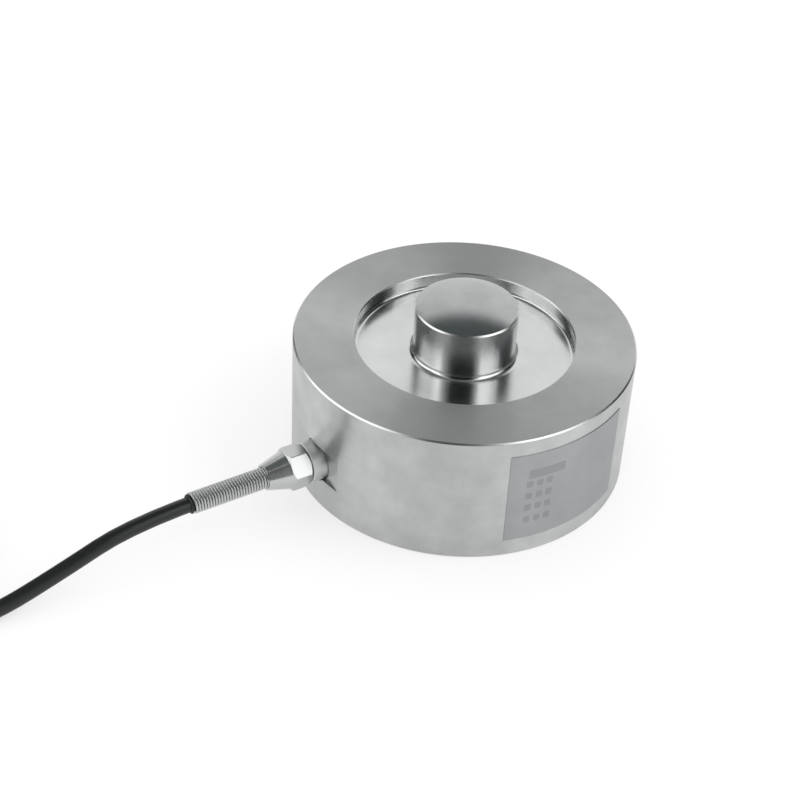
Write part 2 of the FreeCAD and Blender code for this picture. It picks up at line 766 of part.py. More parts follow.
# Insulated cores inside the cell, from the potting plug up to the board
core_radius = value("sizes.core_diameter / 2")
potting_face = value(f"{thread_end} - sizes.potting_length")
gland_axis = value("sizes.gland_height")
board_pad = value(board_outer) - 2 * core_radius
board_underside = value(board_bottom)
fit_gap = value("sizes.fit_gap")
CORE_NAMES = ("red", "black", "green", "white")
for number, name in enumerate(CORE_NAMES):
    place = number - (len(CORE_NAMES) - 1) / 2
    near = place * value("sizes.core_bundle_spacing")
    far = place * value("sizes.core_spread")
    route = [
        Vector(-potting_face, near, gland_axis),
        Vector(-board_pad, near, gland_axis),
        Vector(-board_pad, far, board_underside - fit_gap),
    ]
    feature(f"{name}_inner_core", tube(route, core_radius, f"{name}_inner_core"))

# Free cable, from inside the spring's end down to the surface and on to its coil
CABLE_ROUTE = [
    (-97.1, 0.0, 16.6),
    (-123.0, 0.0, 16.6),
    (-148.0, -0.9, 8.6),
    (-171.5, -2.2, 2.65),
    (-186.5, -1.0, 2.8),
    (-199.2, 0.97, 3.45),
]
cable_tube = tube([Vector(*point) for point in CABLE_ROUTE], value(cable_radius), "cable_run")

# Put-away coil: five turns wide, two full layers and most of a third
COIL_CENTRE = Vector(-212.0, 44.0, 0.0)
half_bundle = "(2 * sizes.coil_pitch + sizes.cable_diameter / 2)"
inner_edge = f"(sizes.coil_mean_radius - {half_bundle})"
outer_edge = f"(sizes.coil_mean_radius + {half_bundle})"
step_edge = f"({inner_edge} + 2 * sizes.coil_pitch)"
layer_two = f"(sizes.coil_lift + sizes.cable_diameter + sizes.coil_pitch)"
layer_three = f"({layer_two} + sizes.coil_pitch)"
coil_body = turned_body(
    "cable_coil",
    [
        (f"{inner_edge} + sizes.coil_corner", "sizes.coil_lift"),
        (f"{outer_edge} - sizes.coil_corner", "sizes.coil_lift"),
        (outer_edge, "sizes.coil_lift + sizes.coil_corner"),
        (outer_edge, f"{layer_three} - sizes.coil_corner"),
        (f"{outer_edge} - sizes.coil_corner", layer_three),
        (f"{step_edge} + sizes.coil_corner", layer_three),
        (step_edge, f"{layer_three} - sizes.coil_corner"),
        (step_edge, layer_two),
        (f"{inner_edge} + sizes.coil_corner", layer_two),
        (inner_edge, f"{layer_two} - sizes.coil_corner"),
        (inner_edge, "sizes.coil_lift + sizes.coil_corner"),
    ],
)
last_turn_sketch = new_sketch(coil_body, "last_turn_outline", "XZ_Plane")
last_inner = f"({step_edge} - sizes.coil_pitch)"
draw_outline(
    last_turn_sketch,
    [
        (last_inner, layer_two),
        (step_edge, layer_two),
        (step_edge, f"{layer_three} - sizes.coil_corner"),
        (f"{step_edge} - sizes.coil_corner", layer_three),
        (f"{last_inner} + sizes.coil_corner", layer_three),
        (last_inner, f"{layer_three} - sizes.coil_corner"),
    ],
)
last_turn = coil_body.newObject("PartDesign::Revolution", "last_turn")
last_turn.Profile = last_turn_sketch
last_turn.ReferenceAxis = (last_turn_sketch, ["V_Axis"])
last_turn.setExpression("Angle", "sizes.coil_last_turn_angle")
doc.recompute()
turn_end_angle = value("sizes.coil_last_turn_start - sizes.coil_last_turn_angle")
coil_body.Placement = FreeCAD.Placement(
    COIL_CENTRE, FreeCAD.Rotation(Vector(0, 0, 1), turn_end_angle)
)
finish(coil_body, "cable_coil")
doc.recompute()
feature("cable_run", cable_tube.cut(coil_body.Shape))


def bundle_outline(offset):
    """Eight-sided section of the coil's bundle, grown by an offset."""
    low = value("sizes.coil_lift") - offset
    high = value(layer_three) + offset
    near = value(inner_edge) - offset
    far = value(outer_edge) + offset
    corner = value("sizes.coil_corner") + offset / 2
    step = value("sizes.coil_pitch")
    outline = [
        (near + corner, low), (far - corner, low), (far, low + corner), (far, high - corner),
        (far - corner, high), (near + step + corner, high), (near, high - step), (near, low + corner),
    ]
    points = [Vector(radius, 0, height) for radius, height in outline]
    return Part.Face(Part.makePolygon(points + points[:1]))


# Two cable ties round the bundle, each with its locking head outside
TIE_ANGLES = (215.0, 335.0)
tie_inner = value("sizes.tie_clearance")
tie_outer = tie_inner + value("sizes.tie_thickness - sizes.tie_clearance")
head_length = value("sizes.tie_head_length")
head_height = value("sizes.tie_head_height")
for number, angle in enumerate(TIE_ANGLES, 1):
    band_angle = math.degrees(value("sizes.tie_width / sizes.coil_mean_radius"))
    section = bundle_outline(tie_outer).cut(bundle_outline(tie_inner))
    band = section.revolve(Vector(), Vector(0, 0, 1), band_angle)
    band.rotate(Vector(), Vector(0, 0, 1), -band_angle / 2)
    head_low = value("sizes.coil_lift") + value("sizes.coil_pitch")
    head_corner = Vector(value(outer_edge) + 2 * tie_inner, -head_length / 2, head_low)
    head = Part.makeBox(head_height, head_length, head_length, head_corner)
    tie = band.fuse(head).removeSplitter()
    turned = FreeCAD.Rotation(Vector(0, 0, 1), angle)
    feature(f"coil_tie_{number}", tie, FreeCAD.Placement(COIL_CENTRE, turned))

# Far end: a shrink sleeve over the jacket's end, lying in the last turn's slot
last_radius = value(f"{last_inner} + sizes.coil_pitch / 2")
last_height = value(f"{layer_two} + sizes.coil_pitch / 2")
sleeve_angle = value("sizes.end_sleeve_angle")
sleeve_end = turn_end_angle - sleeve_angle
sleeve_section = Part.Circle(
    Vector(last_radius, 0, last_height), Vector(0, 1, 0), value("sizes.end_sleeve_diameter / 2")
)
sleeve_face = Part.Face(Part.Wire([sleeve_section.toShape()]))
sleeve = sleeve_face.revolve(Vector(), Vector(0, 0, 1), sleeve_angle)
sleeve_turn = FreeCAD.Rotation(Vector(0, 0, 1), sleeve_end)
feature("cable_end_sleeve", sleeve, FreeCAD.Placement(COIL_CENTRE, sleeve_turn))

# Four cores and the screen's drain wire fan out of the sleeve and lie on the coil
free_radius = value("sizes.free_core_diameter / 2")
bundle_radius = value("sizes.free_core_bundle_radius")
rest_height = value(f"{layer_two} + sizes.free_core_diameter / 2 + sizes.free_core_rest_gap")
BUNDLE_ANGLES = (162, 234, 90, 306, 18)
# Swings from the sleeve's end at which each core starts, bends, lands on the coil and stops
START_SWING, BEND_SWING, LAND_SWING, STOP_SWING = (-0.6, -16, -34, -52)
STOP_STAGGER = 4
BEND_PART = 0.2
tips = []
for number, name in enumerate(CORE_NAMES + ("drain",)):
    turn = math.radians(BUNDLE_ANGLES[number])
    bunch = bundle_radius * math.cos(turn)
    lift = last_height + bundle_radius * math.sin(turn)
    place = number - len(CORE_NAMES) / 2
    spread = place * value("sizes.free_core_spread") - value("sizes.free_core_shift")
    route = [
        at_angle(last_radius + bunch, START_SWING, lift),
        at_angle(
            last_radius + (1 - BEND_PART) * bunch + BEND_PART * spread, BEND_SWING,
            (1 - BEND_PART) * lift + BEND_PART * rest_height,
        ),
        at_angle(last_radius + spread, LAND_SWING, rest_height),
        at_angle(last_radius + spread, STOP_SWING + STOP_STAGGER * abs(place), rest_height),
    ]
    turned = FreeCAD.Placement(COIL_CENTRE, FreeCAD.Rotation(Vector(0, 0, 1), sleeve_end))
    label = "drain_wire" if name == "drain" else f"{name}_core_end"
    feature(label, tube(route, free_radius, label), turned)
    tips.append(Part.makeCylinder(
        value("sizes.tinned_tip_diameter / 2"), value("sizes.tinned_tip_length"),
        route[-1], route[-1] - route[-2],
    ))
feature("tinned_tips", Part.makeCompound(tips), turned)

# Every object is sound before anything is written
doc.recompute()
for item in doc.Objects:
    if "Invalid" in item.State or "Error" in item.State:
        raise RuntimeError(f"{item.Name} did not build: {item.State}")
for item in subparts:
    shape = item.Shape
    if shape.isNull() or not shape.isValid() or shape.Volume <= 0:
        raise RuntimeError(f"{item.Label} has no sound solid")
for item in subparts:
    item.Shape.exportStep(f"parts/{item.Label}.step")
    box = item.Shape.BoundBox
    print(item.Label, len(item.Shape.Solids), "solid", round(item.Shape.Volume, 1), "mm3",
          "z", round(box.ZMin, 2), round(box.ZMax, 2))
print(len(subparts), "sub-parts written")
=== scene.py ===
import json
import math

import bmesh
import bpy
from mathutils import Matrix, Vector


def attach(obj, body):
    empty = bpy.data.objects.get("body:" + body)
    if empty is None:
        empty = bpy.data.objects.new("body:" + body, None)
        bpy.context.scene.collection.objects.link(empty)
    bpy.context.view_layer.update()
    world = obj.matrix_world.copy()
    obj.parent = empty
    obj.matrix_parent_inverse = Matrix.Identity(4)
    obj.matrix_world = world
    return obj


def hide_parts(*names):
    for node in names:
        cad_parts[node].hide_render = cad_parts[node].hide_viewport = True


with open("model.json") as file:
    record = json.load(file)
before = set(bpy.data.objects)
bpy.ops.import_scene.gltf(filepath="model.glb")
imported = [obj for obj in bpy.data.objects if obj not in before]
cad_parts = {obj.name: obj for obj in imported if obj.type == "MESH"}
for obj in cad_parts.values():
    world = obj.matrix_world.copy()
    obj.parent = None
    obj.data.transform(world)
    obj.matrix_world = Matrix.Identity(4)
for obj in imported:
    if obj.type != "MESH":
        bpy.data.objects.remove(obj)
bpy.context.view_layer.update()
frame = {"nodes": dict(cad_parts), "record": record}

# Sensing body
# Turned in one piece from a stainless bar: a heavy ring, a thin web and a domed loading boss.
# A flat is milled for the gland, which screws into a stepped bore, and three holes take the
# bolts from below. Sizes are in mm; "along" is the distance from the axis along the gland.
MM = 0.001
OUTER_RADIUS = 57.5
RING_TOP = 47.5
RECESS_RADIUS = 37.0
RECESS_ROUND = 1.2
WEB_TOP = 42.0
WEB_UNDERSIDE = 32.0
BOSS_RADIUS = 17.25
BOSS_ROUND = 2.0
BOSS_EDGE = 59.3
DOME_TOP = 62.7
DOME_STEPS = 20
HUB_RADIUS = 15.0
SPIGOT_RADIUS = 13.0
SPIGOT_BOTTOM = 1.0
SPIGOT_ROUND = 0.3
CAVITY_RADIUS = 43.5
CAVITY_ROUND = 2.5
COVER_TOP = 2.4
COVER_SEAT_RADIUS = 46.0
SEAT_ROUND = 0.2
OUTER_CHAMFER = 0.5
RIM_CHAMFER = 0.4
EDGE_BREAK = 0.12
BODY_STEPS = 256
FLAT_RADIUS = 56.07
FLAT_BOTTOM = 11.65
FLAT_TOP = 24.35
FLAT_TOOL_DEPTH = 20.0
GLAND_HEIGHT = 16.6
# Each step of the gland's bore from outside inwards: its radius, and where it ends along the gland
BORE_STEPS = ((7.25, 52.47), (5.0, 46.87), (3.2, 42.0))
BORE_TOOL_START = 75.0
BORE_TOOL_SIDES = 96
BOLT_COUNT = 3
BOLT_CIRCLE_RADIUS = 51.0
BOLT_HOLE_RADIUS = 2.5
BOLT_HOLE_DEPTH = 10.0
BOLT_HOLE_CHAMFER = 0.5
DRILL_START = -1.0
DRILL_SIDES = 48
ALONG_GLAND = Matrix.Translation((0, 0, GLAND_HEIGHT)) @ Matrix.Rotation(math.radians(-90), 4, "Y")
# Degrees between the points of a rounded edge, and how far outside it a point holds the shading
ARC_STEP = 8.0
HOLD = 0.05
SHARP_ANGLE = math.radians(11)
CLOUD_SIZE = 11.0
GROOVE_SPACING = 0.8
GROOVE_DEPTH = 0.01
FINE_TURNED, POLISHED, LAPPED, MILLED, GROUND, CUT_EDGE = range(6)
# Upright part of a face's direction: below the first it is a wall, above the second it is level
WALL_TILT = 0.5
LEVEL_TILT = 0.9


def linear(code):
    """Linear colour of an sRGB hex value."""
    channels = [int(code[place:place + 2], 16) / 255 for place in (1, 3, 5)]
    curved = [c / 12.92 if c <= 0.04045 else ((c + 0.055) / 1.055) ** 2.4 for c in channels]
    return (*curved, 1.0)


def new_material(name):
    """Empty node material."""
    material = bpy.data.materials.new(name)
    material.use_nodes = True
    material.node_tree.nodes.clear()
    return material


def add_node(material, kind, settings=None, links=None):
    """Node with its settings, by property or input name, and the outputs linked to its inputs."""
    node = material.node_tree.nodes.new(kind)
    for name, setting in (settings or {}).items():
        if isinstance(name, str) and name.islower():
            setattr(node, name, setting)
        else:
            node.inputs[name].default_value = setting
    for name, output in (links or {}).items():
        material.node_tree.links.new(output, node.inputs[name])
    return node


def steel(name, colour, roughness, anisotropy=0.0, lines=0.0, clouds=0.03, along_gland=False):
    """Machined stainless steel, turned about the Z axis or about the gland's axis.

    Tool lines run round that axis. They stretch each reflection across themselves, and soft
    clouds of tone a few millimetres wide break it up, as handling and cleaning leave them.
    """
    material = new_material(name)
    where = add_node(material, "ShaderNodeTexCoord").outputs["Object"]
    place = where
    if along_gland:
        turn = {"Location": (-GLAND_HEIGHT * MM, 0, 0), "Rotation": (0, math.radians(90), 0)}
        place = add_node(material, "ShaderNodeMapping", turn, {"Vector": where}).outputs[0]
    split = add_node(material, "ShaderNodeSeparateXYZ", links={"Vector": place})
    flat = add_node(
        material, "ShaderNodeCombineXYZ", links={"X": split.outputs["X"], "Y": split.outputs["Y"]}
    )
    radius = add_node(
        material, "ShaderNodeVectorMath", {"operation": "LENGTH"}, {0: flat.outputs[0]}
    )
    profile = add_node(
        material, "ShaderNodeCombineXYZ",
        links={"X": radius.outputs["Value"], "Y": split.outputs["Z"]},
    )
    cloud = add_node(
        material, "ShaderNodeTexNoise",
        {"Scale": 1 / (CLOUD_SIZE * MM), "Detail": 3.0, "Roughness": 0.55}, {"Vector": place},
    )
    # Real tool lines are about 0.1 mm apart; they are drawn near 0.8 mm so that they show.
    groove = add_node(
        material, "ShaderNodeTexNoise", {"Scale": 1 / (GROOVE_SPACING * MM), "Detail": 2.0},
        {"Vector": profile.outputs[0]},
    )
    tone = add_node(
        material, "ShaderNodeMapRange",
        {"From Min": 0.3, "From Max": 0.7, "To Min": 1 - clouds, "To Max": 1 + clouds},
        {"Value": cloud.outputs[0]},
    )
    base = add_node(
        material, "ShaderNodeVectorMath", {"operation": "SCALE", 0: linear(colour)[:3]},
        {"Scale": tone.outputs[0]},
    )
    rough_cloud = add_node(
        material, "ShaderNodeMapRange",
        {"From Min": 0.3, "From Max": 0.7, "To Min": roughness * 0.94, "To Max": roughness * 1.06},
        {"Value": cloud.outputs[0]},
    )
    rough = add_node(
        material, "ShaderNodeMath", {"operation": "MULTIPLY_ADD", 1: roughness * lines},
        {0: groove.outputs[0], 2: rough_cloud.outputs[0]},
    )
    bump = add_node(
        material, "ShaderNodeBump", {"Strength": 0.5 * lines, "Distance": GROOVE_DEPTH * MM},
        {"Height": groove.outputs[0]},
    )
    links = {
        "Base Color": base.outputs[0], "Roughness": rough.outputs[0], "Normal": bump.outputs[0],
    }
    if anisotropy:
        # The tangent runs along the tool lines; the quarter turn below sets the stretch across them.
        axis = (-1, 0, 0) if along_gland else (0, 0, 1)
        centre = (0, 0, GLAND_HEIGHT * MM if along_gland else 0)
        arm = add_node(
            material, "ShaderNodeVectorMath", {"operation": "SUBTRACT", 1: centre}, {0: where}
        )
        links["Tangent"] = add_node(
            material, "ShaderNodeVectorMath", {"operation": "CROSS_PRODUCT", 0: axis},
            {1: arm.outputs[0]},
        ).outputs[0]
    surface = add_node(
        material, "ShaderNodeBsdfPrincipled",
        {"Metallic": 1.0, "Anisotropic": anisotropy, "Anisotropic Rotation": 0.25}, links,
    )
    add_node(material, "ShaderNodeOutputMaterial", links={"Surface": surface.outputs[0]})
    return material


def rounded(corners, closed=False):
    """Outline through (across, up, round) corners in mm, with each round drawn as an arc.

    A point is kept just outside each arc, so that smooth shading leaves the flats flat.
    """
    points = []
    for index, (across, up, size) in enumerate(corners):
        corner = Vector((across, up))
        if size == 0 or not closed and index in (0, len(corners) - 1):
            points.append(corner)
            continue
        before = (Vector(corners[index - 1][:2]) - corner).normalized()
        after = (Vector(corners[(index + 1) % len(corners)][:2]) - corner).normalized()
        half = before.angle(after) / 2
        centre = corner + (before + after).normalized() * size / math.sin(half)
        start = corner + before * size / math.tan(half)
        turn = math.pi - 2 * half
        steps = max(2, math.ceil(math.degrees(turn) / ARC_STEP))
        side = 1 if before.cross(after) < 0 else -1
        points.append(start + before * HOLD)
        for step in range(steps + 1):
            swing = Matrix.Rotation(side * turn * step / steps, 2)
            points.append(centre + swing @ (start - centre))
        points.append(corner + after * (size / math.tan(half) + HOLD))
    return points


def turned(outline, steps, closed=False, start=0.0, angle=360.0, capped=True):
    """Mesh in mm of an outline of (radius, height) points spun about the Z axis."""
    bm = bmesh.new()
    verts = [bm.verts.new((across, 0, up)) for across, up in outline]
    for pair in zip(verts, verts[1:] + verts[:1] if closed else verts[1:]):
        bm.edges.new(pair)
    bmesh.ops.rotate(bm, verts=verts, matrix=Matrix.Rotation(math.radians(start), 3, "Z"))
    whole = angle == 360.0
    if capped and closed and not whole:
        bmesh.ops.contextual_create(bm, geom=bm.edges[:])
    bmesh.ops.spin(
        bm, geom=bm.verts[:] + bm.edges[:] + bm.faces[:], cent=(0, 0, 0), axis=(0, 0, 1),
        dvec=(0, 0, 0), angle=math.radians(angle), steps=steps, use_merge=whole,
    )
    bmesh.ops.remove_doubles(bm, verts=bm.verts, dist=0.001)
    bmesh.ops.recalc_face_normals(bm, faces=bm.faces)
    return bm


def new_object(name, bm, materials, placing=Matrix()):
    """Object at the origin from a mesh in mm, with smooth shading between sharp edges."""
    bmesh.ops.transform(bm, matrix=Matrix.Diagonal((MM, MM, MM, 1)) @ placing, verts=bm.verts)
    mesh = bpy.data.meshes.new(name)
    bm.to_mesh(mesh)
    bm.free()
    mesh.shade_smooth()
    mesh.set_sharp_from_angle(angle=SHARP_ANGLE)
    for material in materials:
        mesh.materials.append(material)
    item = bpy.data.objects.new(name, mesh)
    bpy.context.scene.collection.objects.link(item)
    return item


def cut(piece, tool, operation="DIFFERENCE"):
    """Boolean of one object on another, applied to the mesh. The tool is used up."""
    modifier = piece.modifiers.new("cut", "BOOLEAN")
    modifier.operation = operation
    modifier.solver = "EXACT"
    modifier.object = tool
    bpy.context.view_layer.update()
    evaluated = piece.evaluated_get(bpy.context.evaluated_depsgraph_get())
    mesh = bpy.data.meshes.new_from_object(evaluated)
    piece.modifiers.clear()
    piece.data = mesh
    mesh.set_sharp_from_angle(angle=SHARP_ANGLE)
    bpy.data.objects.remove(tool)


def milling_tool(name, bm, placing=Matrix()):
    """Cutter whose faces carry the milled finish."""
    for face in bm.faces:
        face.material_index = MILLED
    return new_object(name, bm, [], placing)


def keep(piece, slot_name, *nodes):
    """Put a finished piece on the cell's one body, in place of its CAD nodes."""
    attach(piece, "root")
    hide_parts(*nodes)


dome_rise = DOME_TOP - BOSS_EDGE
dome_radius = (BOSS_RADIUS**2 + dome_rise**2) / (2 * dome_rise)
dome_edge = math.asin((BOSS_RADIUS - RIM_CHAMFER) / dome_radius)
dome = []
for step in range(DOME_STEPS, -1, -1):
    swing = dome_edge * step / DOME_STEPS
    edge_round = EDGE_BREAK if step == DOME_STEPS else 0
    dome.append(
        (dome_radius * math.sin(swing), DOME_TOP - dome_radius * (1 - math.cos(swing)), edge_round)
    )
body_outline = rounded([
    (0, SPIGOT_BOTTOM, 0),
    (SPIGOT_RADIUS, SPIGOT_BOTTOM, SPIGOT_ROUND),
    (SPIGOT_RADIUS, COVER_TOP, 0),
    (HUB_RADIUS, COVER_TOP, SPIGOT_ROUND),
    (HUB_RADIUS, WEB_UNDERSIDE, CAVITY_ROUND),
    (CAVITY_RADIUS, WEB_UNDERSIDE, CAVITY_ROUND),
    (CAVITY_RADIUS, COVER_TOP, 0),
    (COVER_SEAT_RADIUS, COVER_TOP, 0),
    (COVER_SEAT_RADIUS, 0, SEAT_ROUND),
    (OUTER_RADIUS - OUTER_CHAMFER, 0, EDGE_BREAK),
    (OUTER_RADIUS, OUTER_CHAMFER, EDGE_BREAK),
    (OUTER_RADIUS, RING_TOP - OUTER_CHAMFER, EDGE_BREAK),
    (OUTER_RADIUS - OUTER_CHAMFER, RING_TOP, EDGE_BREAK),
    (RECESS_RADIUS + RIM_CHAMFER, RING_TOP, EDGE_BREAK),
    (RECESS_RADIUS, RING_TOP - RIM_CHAMFER, EDGE_BREAK),
    (RECESS_RADIUS, WEB_TOP, RECESS_ROUND),
    (BOSS_RADIUS, WEB_TOP, BOSS_ROUND),
    (BOSS_RADIUS, BOSS_EDGE - RIM_CHAMFER, EDGE_BREAK),
] + dome)
body_mesh = turned(body_outline, BODY_STEPS)
web_middle = (WEB_TOP + WEB_UNDERSIDE) / 2
for face in body_mesh.faces:
    middle = face.calc_center_median()
    across = math.hypot(middle.x, middle.y)
    tilt = abs(face.normal.z)
    if WALL_TILT < tilt < LEVEL_TILT and middle.z > WEB_TOP + BOSS_ROUND:
        face.material_index = CUT_EDGE
    elif across > COVER_SEAT_RADIUS and tilt < WALL_TILT:
        face.material_index = GROUND
    elif across < BOSS_RADIUS and middle.z > BOSS_EDGE:
        face.material_index = LAPPED
    elif across < RECESS_RADIUS + RIM_CHAMFER and middle.z > web_middle:
        face.material_index = POLISHED
    else:
        face.material_index = FINE_TURNED
body_finishes = [
    # Ring: close turning marks spread its reflections into broad satin streaks
    steel("fine_turned_stainless_steel", "#BABBBB", 0.39, anisotropy=0.9, lines=0.12, clouds=0.09),
    # Recess and boss: crisp dark and bright bands that run down the boss and across the web
    steel("polished_turned_stainless_steel", "#D2D3D3", 0.19, anisotropy=0.85, clouds=0.05),
    # Dome: an even grey mirror with soft edges, a little darker for its finer scratches
    steel("lapped_stainless_steel", "#ADAFAF", 0.19, anisotropy=0.2, clouds=0.1),
    # Flat, gland bore and bolt holes: plain and slightly dull, with no direction
    steel("milled_stainless_steel", "#BEBFBF", 0.3, clouds=0.04),
    # Outer wall: paler and smoother than the ring, with faint level lines and wide clouds
    steel("ground_stainless_steel", "#C6C7C7", 0.34, anisotropy=0.85, lines=0.08, clouds=0.11),
    # Chamfers: a paler copy of the same steel, a painted highlight that shows them as thin bright rims
    steel("cut_edges_painted_highlight", "#DFE0E0", 0.3, clouds=0.03),
]
sensing_body = new_object("cell_body", body_mesh, body_finishes)

flat_tool = bmesh.new()
bmesh.ops.create_cube(flat_tool, size=1)
bmesh.ops.scale(
    flat_tool, vec=(FLAT_TOOL_DEPTH, 2 * OUTER_RADIUS, FLAT_TOP - FLAT_BOTTOM), verts=flat_tool.verts
)
bmesh.ops.translate(
    flat_tool, vec=(-FLAT_RADIUS - FLAT_TOOL_DEPTH / 2, 0, (FLAT_TOP + FLAT_BOTTOM) / 2),
    verts=flat_tool.verts,
)
cut(sensing_body, milling_tool("flat_tool", flat_tool))
bore_outline = [(0, BORE_TOOL_START)]
for radius, end in BORE_STEPS:
    bore_outline += [(radius, bore_outline[-1][1]), (radius, end)]
bore_outline.append((0, bore_outline[-1][1]))
cut(sensing_body, milling_tool("bore_tool", turned(bore_outline, BORE_TOOL_SIDES), ALONG_GLAND))
hole_mouth = BOLT_HOLE_RADIUS + BOLT_HOLE_CHAMFER
drill_outline = [
    (0, DRILL_START), (hole_mouth, DRILL_START), (hole_mouth, 0), (BOLT_HOLE_RADIUS, BOLT_HOLE_CHAMFER),
    (BOLT_HOLE_RADIUS, BOLT_HOLE_DEPTH), (0, BOLT_HOLE_DEPTH),
]
for number in range(BOLT_COUNT):
    turn = Matrix.Rotation(2 * math.pi * number / BOLT_COUNT, 4, "Z")
    hole_place = turn @ Matrix.Translation((BOLT_CIRCLE_RADIUS, 0, 0))
    cut(sensing_body, milling_tool("drill", turned(drill_outline, DRILL_SIDES), hole_place))
keep(sensing_body, "stainless_body", "sensing_body")

# Bottom cover
# An annular stainless sheet with one rolled bead, laser welded to the ring and to the hub.
# It seals the gauges in.
COVER_BOTTOM = 1.4
COVER_EDGE_ROUND = 0.1
COVER_STEPS = 192
BEAD_RADIUS = 29.0
BEAD_HALF_WIDTH = 3.5
BEAD_FLAT = 1.4
BEAD_HEIGHT = 2.2
BEAD_ROUND = 0.8
WELD_GAP = 0.05
# Each weld seam: the radius of its joint, the way that it spreads from there, and its leg. The
# spigot ends 0.4 mm below the cover, so its seam is the smaller one.
WELD_SEAMS = ((COVER_SEAT_RADIUS, -1, 0.6), (SPIGOT_RADIUS, 1, 0.4))
# Corners of a seam's concave section, as shares of its leg: across, and down from the cover
WELD_SECTION = ((0, 0), (0, 1), (0.3, 0.6), (0.6, 0.3), (1, 0))


def gather(*meshes):
    """One mesh from several."""
    whole = bmesh.new()
    for bm in meshes:
        part = bpy.data.meshes.new("part")
        bm.to_mesh(part)
        bm.free()
        whole.from_mesh(part)
        bpy.data.meshes.remove(part)
    return whole


bead = [
    (BEAD_RADIUS - BEAD_HALF_WIDTH, 0), (BEAD_RADIUS - BEAD_FLAT, BEAD_HEIGHT),
    (BEAD_RADIUS + BEAD_FLAT, BEAD_HEIGHT), (BEAD_RADIUS + BEAD_HALF_WIDTH, 0),
]
cover_inner = SPIGOT_RADIUS + WELD_GAP
cover_outer = COVER_SEAT_RADIUS - WELD_GAP
cover_outline = rounded(
    [(cover_inner, COVER_BOTTOM, COVER_EDGE_ROUND)]
    + [(across, COVER_BOTTOM + up, BEAD_ROUND) for across, up in bead]
    + [(cover_outer, COVER_BOTTOM, COVER_EDGE_ROUND), (cover_outer, COVER_TOP, 0)]
    + [(across, COVER_TOP + up, BEAD_ROUND) for across, up in reversed(bead)]
    + [(cover_inner, COVER_TOP, 0)],
    closed=True,
)
# Cold rolled finish: plain and satin, without the turned steel's streaks
sheet_steel = steel("mill_finish_stainless_sheet", "#BFC0C0", 0.38, lines=0.05, clouds=0.05)
cover = new_object("sealing_cover", turned(cover_outline, COVER_STEPS, closed=True), [sheet_steel])
keep(cover, "stainless_sheet", "bottom_cover")

weld_meshes = []
for radius, side, leg in WELD_SEAMS:
    seam = [(radius + side * across * leg, COVER_BOTTOM - down * leg) for across, down in WELD_SECTION]
    weld_meshes.append(turned(seam, COVER_STEPS, closed=True))
# The melted seam is darker, warmer and more uneven than the sheet
weld_finish = steel("laser_weld_bead", "#A9A7A2", 0.4, lines=0.3, clouds=0.12)
welds = new_object("cover_weld_seams", gather(*weld_meshes), [weld_finish])
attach(welds, "root")

# Nameplate
# A thin brushed aluminium foil stuck to the wall of the ring, with its print left as blank
# fields: one wide header and four rows of three short bars.
FOIL_RADIUS = 57.7
FOIL_BOTTOM = 6.7
FOIL_TOP = 41.5
FOIL_START = 251.7
FOIL_ANGLE = 46.5
FOIL_STEPS = 48
PRINT_THICKNESS = 0.02
PRINT_STEPS = 8
# The header's start and end in degrees round the ring, then its bottom and top
HEADER = (258.4, 271.6, 31.6, 35.0)
COLUMNS = (258.9, 262.5, 266.0)
ROWS = (29.2, 24.3, 19.5, 14.4)
BAR_HALF_ANGLE = 1.1
BAR_HALF_HEIGHT = 1.2


def wall_patch(inner, outer, low, high, start, angle, steps):
    """Thin curved patch on the wall of the ring."""
    outline = [(inner, low), (outer, low), (outer, high), (inner, high)]
    return turned(outline, steps, closed=True, start=start, angle=angle)


foil = wall_patch(
    OUTER_RADIUS, FOIL_RADIUS, FOIL_BOTTOM, FOIL_TOP, FOIL_START, FOIL_ANGLE, FOIL_STEPS
)
# A little darker and greyer than the wall, so that its outline shows
foil_finish = steel("brushed_nameplate_foil", "#A9AAAC", 0.36, anisotropy=0.8, lines=0.1, clouds=0.07)
keep(new_object("nameplate_foil", foil, [foil_finish]), "nameplate_foil", "nameplate")

print_fields = [HEADER] + [
    (column - BAR_HALF_ANGLE, column + BAR_HALF_ANGLE, row - BAR_HALF_HEIGHT, row + BAR_HALF_HEIGHT)
    for column in COLUMNS for row in ROWS
]
fields = [
    wall_patch(
        FOIL_RADIUS, FOIL_RADIUS + PRINT_THICKNESS, low, high, start, stop - start, PRINT_STEPS
    )
    for start, stop, low, high in print_fields
]
# Faint matt grey on the foil
ink_finish = steel("etched_nameplate_print", "#9B9C9E", 0.42, clouds=0.04)
print_piece = new_object("nameplate_blank_fields", gather(*fields), [ink_finish])
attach(print_piece, "root")

# Cable gland
# Turned stainless: a body screwed into the ring up to its round collar, and a nut cut from
# hexagon bar whose long cone holds the spring.
GLAND_START = 47.07
GLAND_END = 66.42
GLAND_SIDES = 96
CABLE_HOLE_RADIUS = 2.8
BODY_THREAD_RADIUS = 4.95
SEAL_GROOVE_RADIUS = 6.3
SEAL_GROOVE_END = 53.62
COLLAR_RADIUS = 6.9
COLLAR_START = 52.52
COLLAR_END = 61.22
NUT_THREAD_RADIUS = 5.3
SEAL_POCKET_RADIUS = 4.25
SEAL_POCKET_START = 60.22
NUT_CORNER = 13 / math.sqrt(3)
NUT_FACE_RADIUS = 6.45
NUT_BORE_RADIUS = 5.35
NUT_BORE_END = 67.22
NUT_START = 61.42
NUT_SHOULDER = 68.52
NUT_TIP = 76.32
NUT_TIP_RADIUS = 4.35
NUT_CHAMFER = 0.9
NUT_TURN = math.radians(8)
NUT_EDGE_ROUND = 0.22
HEXAGON_FINISH = 1
SPRING_POCKET_RADIUS = 3.7
SPRING_POCKET_START = 72.02
BAR_MARGIN = 5.0
BAR_LENGTH = 25.0
